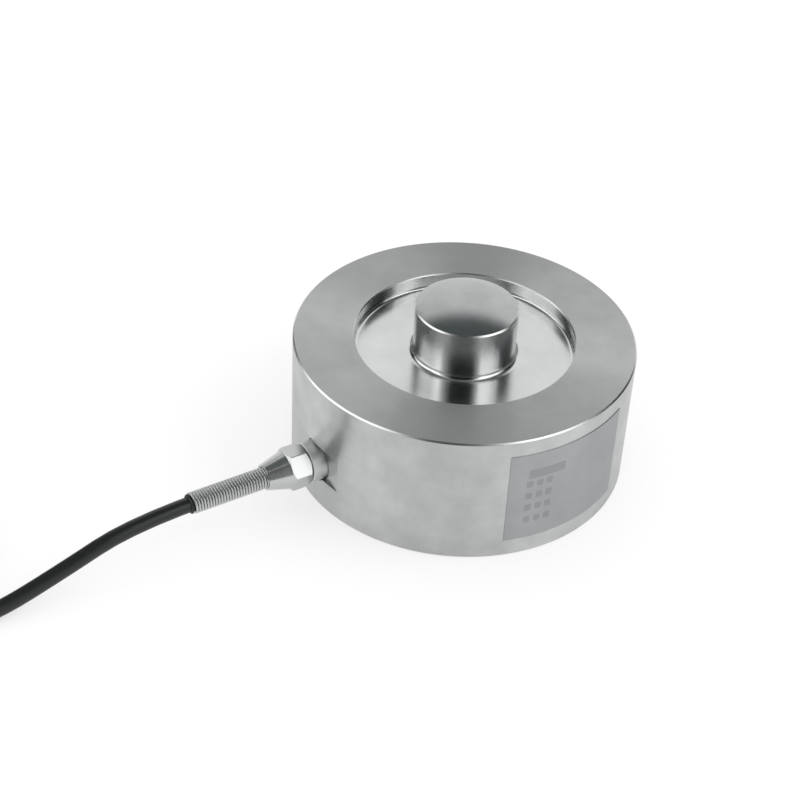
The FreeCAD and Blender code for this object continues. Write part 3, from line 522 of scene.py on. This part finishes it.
# Bright turned, finer than the ring: sharp light and dark bands along the cone
gland_steel = steel("bright_turned_stainless_steel", "#C6C7C7", 0.22, 0.45, 0.1, 0.03, along_gland=True)
# The collar was left dull from the lathe; its paler colour is painted highlight, for the light that the
# collar catches
collar_steel = steel("dull_turned_steel_painted_highlight", "#DEDFDF", 0.45, 0.3, 0.1, 0.05, along_gland=True)
# Drawn flats have no tool lines, so one of them flashes as a whole
flat_steel = steel("drawn_hexagon_stainless_steel", "#C2C3C3", 0.2, clouds=0.03, along_gland=True)
gland_outline = rounded([
    (CABLE_HOLE_RADIUS, GLAND_START, 0.2),
    (BODY_THREAD_RADIUS, GLAND_START, 0.4),
    (BODY_THREAD_RADIUS, SEAL_GROOVE_END, 0),
    (SEAL_GROOVE_RADIUS, SEAL_GROOVE_END, 0),
    (SEAL_GROOVE_RADIUS, COLLAR_START, 0.1),
    (COLLAR_RADIUS, COLLAR_START, 0.25),
    (COLLAR_RADIUS, COLLAR_END, 0.3),
    (NUT_THREAD_RADIUS, COLLAR_END, 0),
    (NUT_THREAD_RADIUS, GLAND_END, 0.3),
    (SEAL_POCKET_RADIUS, GLAND_END, 0.2),
    (SEAL_POCKET_RADIUS, SEAL_POCKET_START, 0),
    (CABLE_HOLE_RADIUS, SEAL_POCKET_START, 0),
], closed=True)
gland_mesh = turned(gland_outline, GLAND_SIDES, closed=True)
gland_body = new_object("gland_collar", gland_mesh, [collar_steel], ALONG_GLAND)
keep(gland_body, "stainless_gland", "gland_body")

nut_outline = rounded([
    (NUT_BORE_RADIUS, NUT_START, 0.2),
    (NUT_FACE_RADIUS, NUT_START, 0.15),
    (NUT_CORNER, NUT_START + NUT_CHAMFER, 0),
    (NUT_CORNER, NUT_SHOULDER - NUT_CHAMFER, 0),
    (NUT_FACE_RADIUS, NUT_SHOULDER, 0.15),
    (NUT_TIP_RADIUS, NUT_TIP, 0.2),
    (SPRING_POCKET_RADIUS, NUT_TIP, 0.15),
    (SPRING_POCKET_RADIUS, SPRING_POCKET_START, 0),
    (CABLE_HOLE_RADIUS, SPRING_POCKET_START, 0),
    (CABLE_HOLE_RADIUS, NUT_BORE_END, 0),
    (NUT_BORE_RADIUS, NUT_BORE_END, 0),
], closed=True)
nut_mesh = turned(nut_outline, GLAND_SIDES, closed=True)
nut = new_object("hexagon_nut", nut_mesh, [gland_steel, flat_steel], ALONG_GLAND)
bar = bmesh.new()
bar_start = Matrix.Translation((0, 0, NUT_START - BAR_MARGIN))
bmesh.ops.create_circle(
    bar, cap_ends=True, segments=6, radius=NUT_CORNER,
    matrix=bar_start @ Matrix.Rotation(NUT_TURN, 4, "Z"),
)
grown = bmesh.ops.extrude_face_region(bar, geom=bar.faces[:])["geom"]
far_corners = [part for part in grown if isinstance(part, bmesh.types.BMVert)]
bmesh.ops.translate(bar, vec=(0, 0, BAR_LENGTH), verts=far_corners)
bmesh.ops.recalc_face_normals(bar, faces=bar.faces)
long_edges = [edge for edge in bar.edges if abs((edge.verts[0].co - edge.verts[1].co).z) > 1]
bmesh.ops.bevel(
    bar, geom=long_edges, offset=NUT_EDGE_ROUND, offset_type="OFFSET", affect="EDGES", segments=3,
    profile=0.5, material=-1,
)
for face in bar.faces:
    face.material_index = HEXAGON_FINISH
cut(nut, new_object("hexagon_bar", bar, [], ALONG_GLAND), "INTERSECT")
keep(nut, "stainless_gland", "gland_nut")

# Strain relief spring and its end ring
# Round spring wire wound close, pushed into the nut's pocket; it lets the cable bend gently.
# A moulded rubber ring closes its far end.
SPRING_RADIUS = 3.65
WIRE_RADIUS = 0.45
SPRING_PITCH = 0.99
SPRING_START = 72.07 + WIRE_RADIUS
SPRING_END = 103.02 - WIRE_RADIUS
TURN_STEPS = 40
WIRE_SIDES = 14
WIRE_SHARP_ANGLE = math.radians(40)
END_RING_SIDES = 64
# Corners of the end ring's section: radius, place along the gland, and round
END_RING_SECTION = ((2.65, 103.07, 0), (3.4, 103.07, 0.1), (3.15, 103.5, 0.2), (2.65, 103.82, 0.1))
MOTTLE_SIZE = 12.0
wire = bmesh.new()
wire_start = Matrix.Translation((SPRING_RADIUS - WIRE_RADIUS, 0, SPRING_START))
bmesh.ops.create_circle(
    wire, cap_ends=True, segments=WIRE_SIDES, radius=WIRE_RADIUS,
    matrix=wire_start @ Matrix.Rotation(math.radians(90), 4, "X"),
)
turns = (SPRING_END - SPRING_START) / SPRING_PITCH
wire_steps = round(turns * TURN_STEPS)
bmesh.ops.spin(
    wire, geom=wire.verts[:] + wire.edges[:] + wire.faces[:], cent=(0, 0, 0), axis=(0, 0, 1),
    dvec=(0, 0, (SPRING_END - SPRING_START) / wire_steps), angle=2 * math.pi * turns,
    steps=wire_steps, use_merge=False,
)
bmesh.ops.recalc_face_normals(wire, faces=wire.faces)
# Drawn wire is smooth and satin: pale turns with dark gaps between them
wire_steel = steel("drawn_spring_wire", "#C6C7C7", 0.38, clouds=0.02, along_gland=True)
spring = new_object("close_coiled_spring", wire, [wire_steel], ALONG_GLAND)
spring.data.set_sharp_from_angle(angle=WIRE_SHARP_ANGLE)
keep(spring, "spring_wire", "strain_relief_spring")


def polymer(name, colour, roughness, grain, depth, mottle=0.06):
    """Moulded or extruded polymer: a surface grain of a size and depth in mm, and a slight
    change of tone over a centimetre, so that its highlights look soft and a little broken."""
    material = new_material(name)
    place = add_node(material, "ShaderNodeTexCoord").outputs["Object"]
    fine = add_node(
        material, "ShaderNodeTexNoise", {"Scale": 1 / (grain * MM), "Detail": 3.0}, {"Vector": place}
    )
    wide = add_node(
        material, "ShaderNodeTexNoise", {"Scale": 1 / (MOTTLE_SIZE * MM), "Detail": 2.0},
        {"Vector": place},
    )
    tone = add_node(
        material, "ShaderNodeMapRange", {"To Min": 1 - mottle, "To Max": 1 + mottle},
        {"Value": wide.outputs[0]},
    )
    base = add_node(
        material, "ShaderNodeVectorMath", {"operation": "SCALE", 0: linear(colour)[:3]},
        {"Scale": tone.outputs[0]},
    )
    rough = add_node(
        material, "ShaderNodeMapRange", {"To Min": roughness - 0.05, "To Max": roughness + 0.05},
        {"Value": fine.outputs[0]},
    )
    bump = add_node(
        material, "ShaderNodeBump", {"Strength": 0.4, "Distance": depth * MM},
        {"Height": fine.outputs[0]},
    )
    surface = add_node(
        material, "ShaderNodeBsdfPrincipled", {},
        {"Base Color": base.outputs[0], "Roughness": rough.outputs[0], "Normal": bump.outputs[0]},
    )
    add_node(material, "ShaderNodeOutputMaterial", links={"Surface": surface.outputs[0]})
    return material


# Moulded rubber is matt and nearly black
rubber = polymer("moulded_nitrile_rubber", "#1E2220", 0.55, 0.35, 0.01)
ring_mesh = turned(rounded(END_RING_SECTION, closed=True), END_RING_SIDES, closed=True)
keep(new_object("rubber_end_ring", ring_mesh, [rubber], ALONG_GLAND), "seal_rubber", "spring_end_ring")

# Cable and its coil
# Round screened cable with a black PVC jacket. It leaves the spring, comes down to the surface
# and goes on to the put-away coil: five turns wide, two full layers and most of a third.
CABLE_RADIUS = 2.6
CABLE_SIDES = 20
ROUTE = [
    (-97.1, 0.0, 16.6), (-123.0, 0.0, 16.6), (-148.0, -0.9, 8.6), (-171.5, -2.2, 2.65),
    (-186.5, -1.0, 2.8),
]
COIL_CENTRE = Vector((-212.0, 44.0, 0.0))
COLUMN_RADII = (42.3, 37.05, 31.8, 26.55, 21.3)
LAYER_HEIGHTS = (3.5, 8.75, 14.0)
ENTRY_ANGLE = -93.0
COIL_STEP = 22.5
FIRST_POINT_ANGLE = -104.25
LAST_TURN = 13.297
# A spline runs inside its control points, so these stand out from the turns by this factor
SPLINE_SHRINK = 1.01947
# Share of a turn in which the cable moves over to the next one
JOG = 0.17
# Each move to the next turn: where it starts, in turns from the entry, then its column and layer
MOVES = (
    [(0.79 + turn, turn + 1, 0) for turn in range(4)]
    + [(4.62, 4, 1)] + [(5.62 + turn, 3 - turn, 1) for turn in range(4)]
    + [(9.45, 0, 2)] + [(10.45 + turn, turn + 1, 2) for turn in range(3)]
)


def winding(turn):
    """Radius and height of the cable's centre in the coil, at a number of turns from its entry."""
    radius = COLUMN_RADII[0]
    height = LAYER_HEIGHTS[0]
    for start, column, layer in MOVES:
        share = min(1.0, max(0.0, (turn - start) / JOG))
        ease = share * share * (3 - 2 * share)
        radius += (COLUMN_RADII[column] - radius) * ease
        height += (LAYER_HEIGHTS[layer] - height) * ease
    return radius, height


def on_coil(radius, angle, height):
    """Point at a radius, an angle in degrees and a height about the coil's centre."""
    swing = math.radians(angle)
    return COIL_CENTRE + Vector((radius * math.cos(swing), radius * math.sin(swing), height))


def soft_curve(name, points, radius, sides):
    """Round rod along a NURBS curve that its points pull towards themselves, all in mm."""
    data = bpy.data.curves.new(name, "CURVE")
    data.dimensions = "3D"
    spline = data.splines.new("NURBS")
    spline.points.add(len(points) - 1)
    for point, place in zip(spline.points, points):
        point.co = (*(Vector(place) * MM), 1)
    spline.order_u = 3
    spline.use_endpoint_u = True
    spline.resolution_u = 5
    spline.use_smooth = True
    data.bevel_depth = radius * MM
    data.bevel_resolution = sides // 2 - 2
    data.use_fill_caps = True
    item = bpy.data.objects.new(name, data)
    bpy.context.scene.collection.objects.link(item)
    return item


coil_points = []
count = math.ceil((LAST_TURN * 360 - (ENTRY_ANGLE - FIRST_POINT_ANGLE)) / COIL_STEP)
for index in range(count):
    angle = FIRST_POINT_ANGLE - index * COIL_STEP
    radius, height = winding((ENTRY_ANGLE - angle) / 360)
    coil_points.append(on_coil(radius * SPLINE_SHRINK, angle, height))
end_radius, end_height = winding(LAST_TURN)
coil_points.append(on_coil(end_radius, ENTRY_ANGLE - LAST_TURN * 360, end_height))
cable = soft_curve("cable", ROUTE + coil_points, CABLE_RADIUS, CABLE_SIDES)
# Extruded PVC is black with a faint green cast and one soft highlight along it
jacket = polymer("extruded_black_pvc_jacket", "#131716", 0.36, 0.9, 0.02)
cable.data.materials.append(jacket)
keep(cable, "cable_jacket", "cable_run", "cable_coil")

# Cable ties
# Two moulded nylon straps pulled tight round the bundle, each with its locking head outside.
# The strap follows the bundle's section, and its clipped tail stands out of the head.
TIE_ANGLES = (215.0, 335.0)
TIE_THICKNESS = 0.8
TIE_GROW = 0.1
TIE_HALF_WIDTH = 2.0
STRAP_BEND = 1.0
STRAP_STEPS = 6
BUNDLE_MIDDLE = Vector((31.8, 8.75))
# Corners of the bundle's section: distance from the coil's centre, and height
BUNDLE = (
    (20.3, 0.9), (43.3, 0.9), (44.9, 2.5), (44.9, 15.0), (43.3, 16.6), (25.55, 16.6), (18.7, 11.35),
    (18.7, 2.5),
)
BUNDLE_OUTSIDE = 44.9
HEAD_SIZE = (2.6, 5.0, 5.0)
HEAD_BOTTOM = 6.15
HEAD_ROUND = 0.4
TAIL_SIZE = (1.2, 2.6, 2.4)
TAIL_ROUND = 0.15
TAIL_INSET = 0.5
TAIL_SINK = 0.2


def soft_block(size, corner, bevel):
    """Block in mm with bevelled edges, from its lowest corner."""
    bm = bmesh.new()
    bmesh.ops.create_cube(bm, size=1)
    bmesh.ops.scale(bm, vec=size, verts=bm.verts)
    bmesh.ops.translate(bm, vec=Vector(size) / 2 + Vector(corner), verts=bm.verts)
    bmesh.ops.bevel(
        bm, geom=bm.edges[:], offset=bevel, offset_type="OFFSET", affect="EDGES", segments=3,
        profile=0.5, material=-1,
    )
    return bm


# Moulded nylon is a slightly paler black than the jacket, with a low sheen
tie_nylon = polymer("moulded_black_nylon", "#202322", 0.42, 0.6, 0.01)
strap_angle = math.degrees(2 * TIE_HALF_WIDTH / BUNDLE_MIDDLE.x)
strap_outline = []
for across, up in BUNDLE:
    away = Vector((across, up)) - BUNDLE_MIDDLE
    grown = Vector((math.copysign(TIE_GROW, away.x), math.copysign(TIE_GROW, away.y)))
    strap_outline.append((across + grown.x, up + grown.y, STRAP_BEND))
head_inside = BUNDLE_OUTSIDE + 2 * TIE_GROW
head_corner = (head_inside, -HEAD_SIZE[1] / 2, HEAD_BOTTOM)
tail_corner = (head_inside + TAIL_INSET, -TAIL_SIZE[1] / 2, HEAD_BOTTOM + HEAD_SIZE[2] - TAIL_SINK)
for number, angle in enumerate(TIE_ANGLES, 1):
    strap = turned(
        rounded(strap_outline, closed=True), STRAP_STEPS, closed=True, start=-strap_angle / 2,
        angle=strap_angle, capped=False,
    )
    bmesh.ops.solidify(strap, geom=strap.faces[:], thickness=-TIE_THICKNESS)
    head = soft_block(HEAD_SIZE, head_corner, HEAD_ROUND)
    tail = soft_block(TAIL_SIZE, tail_corner, TAIL_ROUND)
    tie_place = Matrix.Translation(COIL_CENTRE) @ Matrix.Rotation(math.radians(angle), 4, "Z")
    tie = new_object(f"coil_strap_{number}", gather(strap, head, tail), [tie_nylon], tie_place)
    keep(tie, "tie_nylon", f"coil_tie_{number}")

# Cable's far end
# Heat-shrunk sleeve over the jacket's cut end, four insulated cores in their wiring colours and
# the screen's bare drain wire, which fan out and lie on the coil with their ends tinned.
SLEEVE_START = 163.0
SLEEVE_END = 146.0
SLEEVE_RADIUS = 2.62
SLEEVE_SPANS = 4
SLEEVE_HEIGHT = 14.0
END_RADIUS = 24.4
CORE_RADIUS = 0.6
CORE_SIDES = 12
BUNCH_RADIUS = 1.35
CORE_SPREAD = 1.55
CORE_SHIFT = 2.2
REST_HEIGHT = 11.97
# Degrees round the coil from the sleeve's end back to a core's start, and on to its bend, the
# place where it lies down and its end; the outer cores end short of the middle one
CORE_SWINGS = (0.6, 16, 34, 52)
CORE_STAGGER = 4
BEND_SHARE = 0.2
TIP_RADIUS = 0.4
TIP_LENGTH = 5.0
TIP_ROUND = 0.2
TIP_SIDES = 16
TIN_GRAIN = 0.3
# Each core: its name, its place round the bunch in degrees, and its colour
CORES = (
    ("red", 162, "#B3221C"), ("black", 234, "#1B1B1C"), ("green", 90, "#1F7A3C"),
    ("white", 306, "#DAD9D3"), ("drain", 18, None),
)
sleeve_points = []
for span in range(SLEEVE_SPANS + 1):
    share = span / SLEEVE_SPANS
    sleeve_points.append(on_coil(
        COLUMN_RADII[3] + (END_RADIUS - COLUMN_RADII[3]) * share,
        SLEEVE_START + (SLEEVE_END - SLEEVE_START) * share, SLEEVE_HEIGHT,
    ))
sleeve = soft_curve("shrink_sleeve", sleeve_points, SLEEVE_RADIUS, CABLE_SIDES)
# Shrunk sleeve is a duller black than the jacket
sleeve.data.materials.append(polymer("shrunk_polyolefin_sleeve", "#232625", 0.5, 1.2, 0.03))
keep(sleeve, "shrink_sleeve", "cable_end_sleeve")

# Tinned copper is a warm white metal, bright where the tin has flowed and dull between
tinned = new_material("tinned_copper_strand")
tin = add_node(tinned, "ShaderNodeTexCoord")
tin_noise = add_node(
    tinned, "ShaderNodeTexNoise", {"Scale": 1 / (TIN_GRAIN * MM), "Detail": 2.0},
    {"Vector": tin.outputs["Object"]},
)
tin_rough = add_node(
    tinned, "ShaderNodeMapRange", {"To Min": 0.22, "To Max": 0.4}, {"Value": tin_noise.outputs[0]}
)
tin_surface = add_node(
    tinned, "ShaderNodeBsdfPrincipled", {"Base Color": linear("#C8C6C0"), "Metallic": 1.0},
    {"Roughness": tin_rough.outputs[0]},
)
add_node(tinned, "ShaderNodeOutputMaterial", links={"Surface": tin_surface.outputs[0]})
tip_outline = rounded(
    [(0, 0, 0), (TIP_RADIUS, 0, 0), (TIP_RADIUS, TIP_LENGTH, TIP_ROUND), (0, TIP_LENGTH, 0)]
)
tip_meshes = []
for number, (colour_name, bunch_angle, colour) in enumerate(CORES):
    swing = math.radians(bunch_angle)
    bunch = BUNCH_RADIUS * math.cos(swing)
    lift = SLEEVE_HEIGHT + BUNCH_RADIUS * math.sin(swing)
    place = number - len(CORES) // 2
    spread = place * CORE_SPREAD - CORE_SHIFT
    bend_radius = END_RADIUS + (1 - BEND_SHARE) * bunch + BEND_SHARE * spread
    bend_height = (1 - BEND_SHARE) * lift + BEND_SHARE * REST_HEIGHT
    core_end = SLEEVE_END - CORE_SWINGS[3] + CORE_STAGGER * abs(place)
    core_points = [
        on_coil(END_RADIUS + bunch, SLEEVE_END - CORE_SWINGS[0], lift),
        on_coil(bend_radius, SLEEVE_END - CORE_SWINGS[1], bend_height),
        on_coil(END_RADIUS + spread, SLEEVE_END - CORE_SWINGS[2], REST_HEIGHT),
        on_coil(END_RADIUS + spread, core_end, REST_HEIGHT),
    ]
    if colour_name == "drain":
        core = soft_curve("screen_drain_wire", core_points, CORE_RADIUS, CORE_SIDES)
        core.data.materials.append(tinned)
        keep(core, "tinned_copper", "drain_wire")
    else:
        core = soft_curve(f"{colour_name}_core", core_points, CORE_RADIUS, CORE_SIDES)
        # Thin PVC over strands: smooth, with a low even gloss
        core.data.materials.append(polymer(f"{colour_name}_pvc_insulation", colour, 0.4, 0.5, 0.005))
        keep(core, f"core_{colour_name}", f"{colour_name}_core_end")
    along = (core_points[-1] - core_points[-2]).normalized()
    tip_turn = along.to_track_quat("Z", "Y").to_matrix().to_4x4()
    tip = turned(tip_outline, TIP_SIDES)
    bmesh.ops.transform(tip, matrix=Matrix.Translation(core_points[-1]) @ tip_turn, verts=tip.verts)
    tip_meshes.append(tip)
tips = new_object("tinned_core_tips", gather(*tip_meshes), [tinned])
keep(tips, "tinned_copper", "tinned_tips")

# Pieces sealed inside the cell and the gland
# Bonded gauges, their leads, the wiring board on its standoffs, trim resistors, cores, potting
# and the gland's seals keep their own solids, and each gets the finish of the real material.
sealed_finishes = {
    "seal_rubber": rubber,
    "cable_jacket": jacket,
    "stainless_gland": gland_steel,
    # Thin amber film, smooth and even
    "gauge_foil": polymer("etched_foil_on_polyimide", "#B5833A", 0.35, 0.4, 0.003),
    # Glass laminate under a glossy green mask
    "board_laminate": polymer("green_masked_glass_laminate", "#1E5B35", 0.3, 0.8, 0.004),
    # Undyed nylon, milky white
    "standoff_nylon": polymer("natural_nylon", "#D8D4C6", 0.45, 0.6, 0.01),
    # Glazed ceramic chips, dark and glossy
    "resistor_ceramic": polymer("glazed_alumina", "#2B2D30", 0.3, 0.3, 0.003),
    # Poured resin that set with a smooth brown surface
    "potting_resin": polymer("cast_epoxy_resin", "#3A3128", 0.25, 1.0, 0.01),
    # Bare copper ribbon, warm and satin
    "lead_copper": steel("drawn_copper_ribbon", "#C58A63", 0.3),
}
# The cores' thin PVC is the same inside the gland as at the far end.
for colour_name, _, colour in CORES:
    if colour:
        insulation = polymer(f"{colour_name}_inner_insulation", colour, 0.4, 0.5, 0.005)
        sealed_finishes[f"core_{colour_name}"] = insulation
node_slots = {entry["node"]: entry["material_slot"] for entry in frame["record"]["subparts"]}
for node, item in frame["nodes"].items():
    if item.hide_render:
        continue
    item.data.materials.clear()
    item.data.materials.append(sealed_finishes[node_slots[node]])

# Floor and background
# Plain pale floor that runs out of sight into a white surround. To the camera, and for the most
# part in reflections, it is white with a trace of the object's shadow on it.
FLOOR_SIZE = 12.0
FLOOR_TONE = 0.82
GLOSSY_WHITENING = 0.75
SHADOW_SHARE = 0.35
WHITE = (1.0, 1.0, 1.0, 1.0)
floor_mesh = bmesh.new()
bmesh.ops.create_grid(floor_mesh, x_segments=1, y_segments=1, size=FLOOR_SIZE / 2 / MM)
pale = new_material("pale_floor")
rays = add_node(pale, "ShaderNodeLightPath")
seen = add_node(
    pale, "ShaderNodeMath", {"operation": "MULTIPLY_ADD", 1: GLOSSY_WHITENING},
    {0: rays.outputs["Is Glossy Ray"], 2: rays.outputs["Is Camera Ray"]},
)
seen = add_node(
    pale, "ShaderNodeMath", {"operation": "ADD", "use_clamp": True},
    {0: seen.outputs[0], 1: rays.outputs["Is Transmission Ray"]},
)
matt = add_node(pale, "ShaderNodeBsdfDiffuse", {"Color": (FLOOR_TONE, FLOOR_TONE, FLOOR_TONE, 1)})
white = add_node(pale, "ShaderNodeEmission", {"Color": WHITE, "Strength": 1.0})
shadowed = add_node(pale, "ShaderNodeBsdfDiffuse", {"Color": WHITE})
whitened = add_node(
    pale, "ShaderNodeMixShader", {0: SHADOW_SHARE}, {1: white.outputs[0], 2: shadowed.outputs[0]}
)
mixed = add_node(
    pale, "ShaderNodeMixShader",
    links={0: seen.outputs[0], 1: matt.outputs[0], 2: whitened.outputs[0]},
)
add_node(pale, "ShaderNodeOutputMaterial", links={"Surface": mixed.outputs[0]})
floor = new_object("floor", floor_mesh, [pale])

world = bpy.data.worlds.new("white_surround")
bpy.context.scene.world = world
world.use_nodes = True
world.node_tree.nodes["Background"].inputs["Color"].default_value = WHITE
world.node_tree.nodes["Background"].inputs["Strength"].default_value = 1.0

# Studio cards
# Seen only in reflections, they give the bare steel its contrast: dark cards for the dark bands
# and overhead, white ones for the highlights. Each is a plain sheet whose edges fade out.
CAMERA_HEADING = math.radians(33.633)
CAMERA_ELEVATION = math.radians(37.955)
CARD_DISTANCE = 1.4
DARK = 0.01
BRIGHT = 1.9
# Each upright card: tone, its left and right edges in degrees round from the camera, its bottom
# and top in metres, and the shares of it that fade out at the left, right, bottom and top
CARDS = {
    "camera_card": (DARK, -55, 38, 0.0, 4.2, (0.38, 0.26, 0.0, 0.05)),
    "right_flag": (DARK, 88, 132, 0.0, 1.4, (0.06, 0.06, 0.0, 0.15)),
    "left_flag": (DARK, -146, -116, 0.0, 1.4, (0.06, 0.06, 0.0, 0.15)),
    "right_reflector": (BRIGHT, 34, 84, 0.3, 2.0, (0.1, 0.1, 0.15, 0.1)),
    "left_reflector": (BRIGHT, -112, -48, 0.4, 2.0, (0.1, 0.1, 0.15, 0.1)),
}
CEILING_TONE = 0.14
CEILING_HEIGHT = 1.2
CEILING_SIZE = (6.0, 1.45)
CEILING_FORWARD = 0.325
CEILING_FADES = (0.2, 0.2, 0.04, 0.38)
# Dark cloth with a slight green cast, which the polished steel picks up
DARK_TINT = (0.86, 1.0, 0.98, 1.0)


def card(name, tone, size, fades, placing):
    """Card that only reflections see, fading out at its left, right, bottom and top."""
    sheet = bmesh.new()
    bmesh.ops.create_grid(sheet, x_segments=1, y_segments=1, size=0.5)
    bmesh.ops.scale(sheet, vec=(*size, 1), verts=sheet.verts)
    bmesh.ops.scale(sheet, vec=(1 / MM, 1 / MM, 1 / MM), verts=sheet.verts)
    material = new_material(name)
    place = add_node(material, "ShaderNodeTexCoord").outputs["Generated"]
    split = add_node(material, "ShaderNodeSeparateXYZ", links={"Vector": place})
    opacity = None
    for axis, side, fade in zip("XXYY", (0, 1, 0, 1), fades):
        if fade == 0:
            continue
        edge = add_node(
            material, "ShaderNodeMapRange",
            {"interpolation_type": "SMOOTHSTEP", "From Min": side, "From Max": abs(side - fade)},
            {"Value": split.outputs[axis]},
        )
        if opacity:
            edge = add_node(
                material, "ShaderNodeMath", {"operation": "MULTIPLY"},
                {0: opacity.outputs[0], 1: edge.outputs[0]},
            )
        opacity = edge
    clear = add_node(material, "ShaderNodeBsdfTransparent")
    tint = WHITE if tone == BRIGHT else DARK_TINT
    lit = add_node(material, "ShaderNodeEmission", {"Color": tint, "Strength": tone})
    shader = add_node(
        material, "ShaderNodeMixShader",
        links={0: opacity.outputs[0], 1: clear.outputs[0], 2: lit.outputs[0]},
    )
    add_node(material, "ShaderNodeOutputMaterial", links={"Surface": shader.outputs[0]})
    item = new_object(name, sheet, [material])
    item.matrix_world = placing
    item.visible_camera = False
    item.visible_diffuse = False
    item.visible_shadow = False
    item.visible_transmission = False


camera_side = math.atan2(-math.cos(CAMERA_HEADING), -math.sin(CAMERA_HEADING))
for name, (tone, left, right, bottom, top, fades) in CARDS.items():
    facing = camera_side + math.radians((left + right) / 2)
    width = 2 * CARD_DISTANCE * math.tan(math.radians(right - left) / 2)
    middle = (CARD_DISTANCE * math.cos(facing), CARD_DISTANCE * math.sin(facing), (bottom + top) / 2)
    turn = Matrix.Rotation(facing + math.radians(90), 4, "Z")
    upright = turn @ Matrix.Rotation(math.radians(90), 4, "X")
    card(name, tone, (width, top - bottom), fades, Matrix.Translation(middle) @ upright)
ceiling_place = Matrix.Translation((0, CEILING_FORWARD, CEILING_HEIGHT))
overhead = Matrix.Rotation(-CAMERA_HEADING, 4, "Z") @ ceiling_place
card("ceiling_card", CEILING_TONE, CEILING_SIZE, CEILING_FADES, overhead)

# Soft lamp
# One wide weak lamp above, on the side away from the gland, gives the dull pieces some shape.
# Reflections don't show it.
LAMP_PLACE = (0.8, -0.7, 1.2)
LAMP_SIZE = 0.9
LAMP_POWER = 5.0
lamp_data = bpy.data.lights.new("soft_lamp", "AREA")
lamp_data.shape = "DISK"
lamp_data.size = LAMP_SIZE
lamp_data.energy = LAMP_POWER
lamp = bpy.data.objects.new("soft_lamp", lamp_data)
lamp.location = LAMP_PLACE
lamp.rotation_euler = (-lamp.location).to_track_quat("-Z", "Y").to_euler()
lamp.visible_glossy = False
lamp.visible_camera = False
bpy.context.scene.collection.objects.link(lamp)

# Camera
# Looks down on the cell from the front left, as the product picture does. The lens is in pixels
# of an 800 by 800 picture, and the base's centre is placed by its pixel and its depth in metres.
FOCAL = 1799.03
IMAGE_SIZE = 800
SENSOR_WIDTH = 36.0
BASE_CENTRE = (456.17, 445.32)
BASE_DEPTH = 0.6303
CAMERA_ROLL = math.radians(3.09)
forward = Vector((
    math.sin(CAMERA_HEADING) * math.cos(CAMERA_ELEVATION),
    math.cos(CAMERA_HEADING) * math.cos(CAMERA_ELEVATION),
    -math.sin(CAMERA_ELEVATION),
))
level_right = Vector((math.cos(CAMERA_HEADING), -math.sin(CAMERA_HEADING), 0))
level_up = level_right.cross(forward)
right = level_right * math.cos(CAMERA_ROLL) + level_up * math.sin(CAMERA_ROLL)
up = level_up * math.cos(CAMERA_ROLL) - level_right * math.sin(CAMERA_ROLL)
off_right = (BASE_CENTRE[0] - IMAGE_SIZE / 2) / FOCAL
off_down = (BASE_CENTRE[1] - IMAGE_SIZE / 2) / FOCAL
eye = -BASE_DEPTH * (forward + right * off_right - up * off_down)
camera_data = bpy.data.cameras.new("camera")
camera_data.sensor_width = SENSOR_WIDTH
camera_data.lens = FOCAL * SENSOR_WIDTH / IMAGE_SIZE
camera = bpy.data.objects.new("camera", camera_data)
turn = Matrix((right, up, -forward)).transposed().to_4x4()
camera.matrix_world = Matrix.Translation(eye) @ turn
bpy.context.scene.collection.objects.link(camera)
bpy.context.scene.camera = camera
bpy.context.scene.view_settings.view_transform = "Standard"
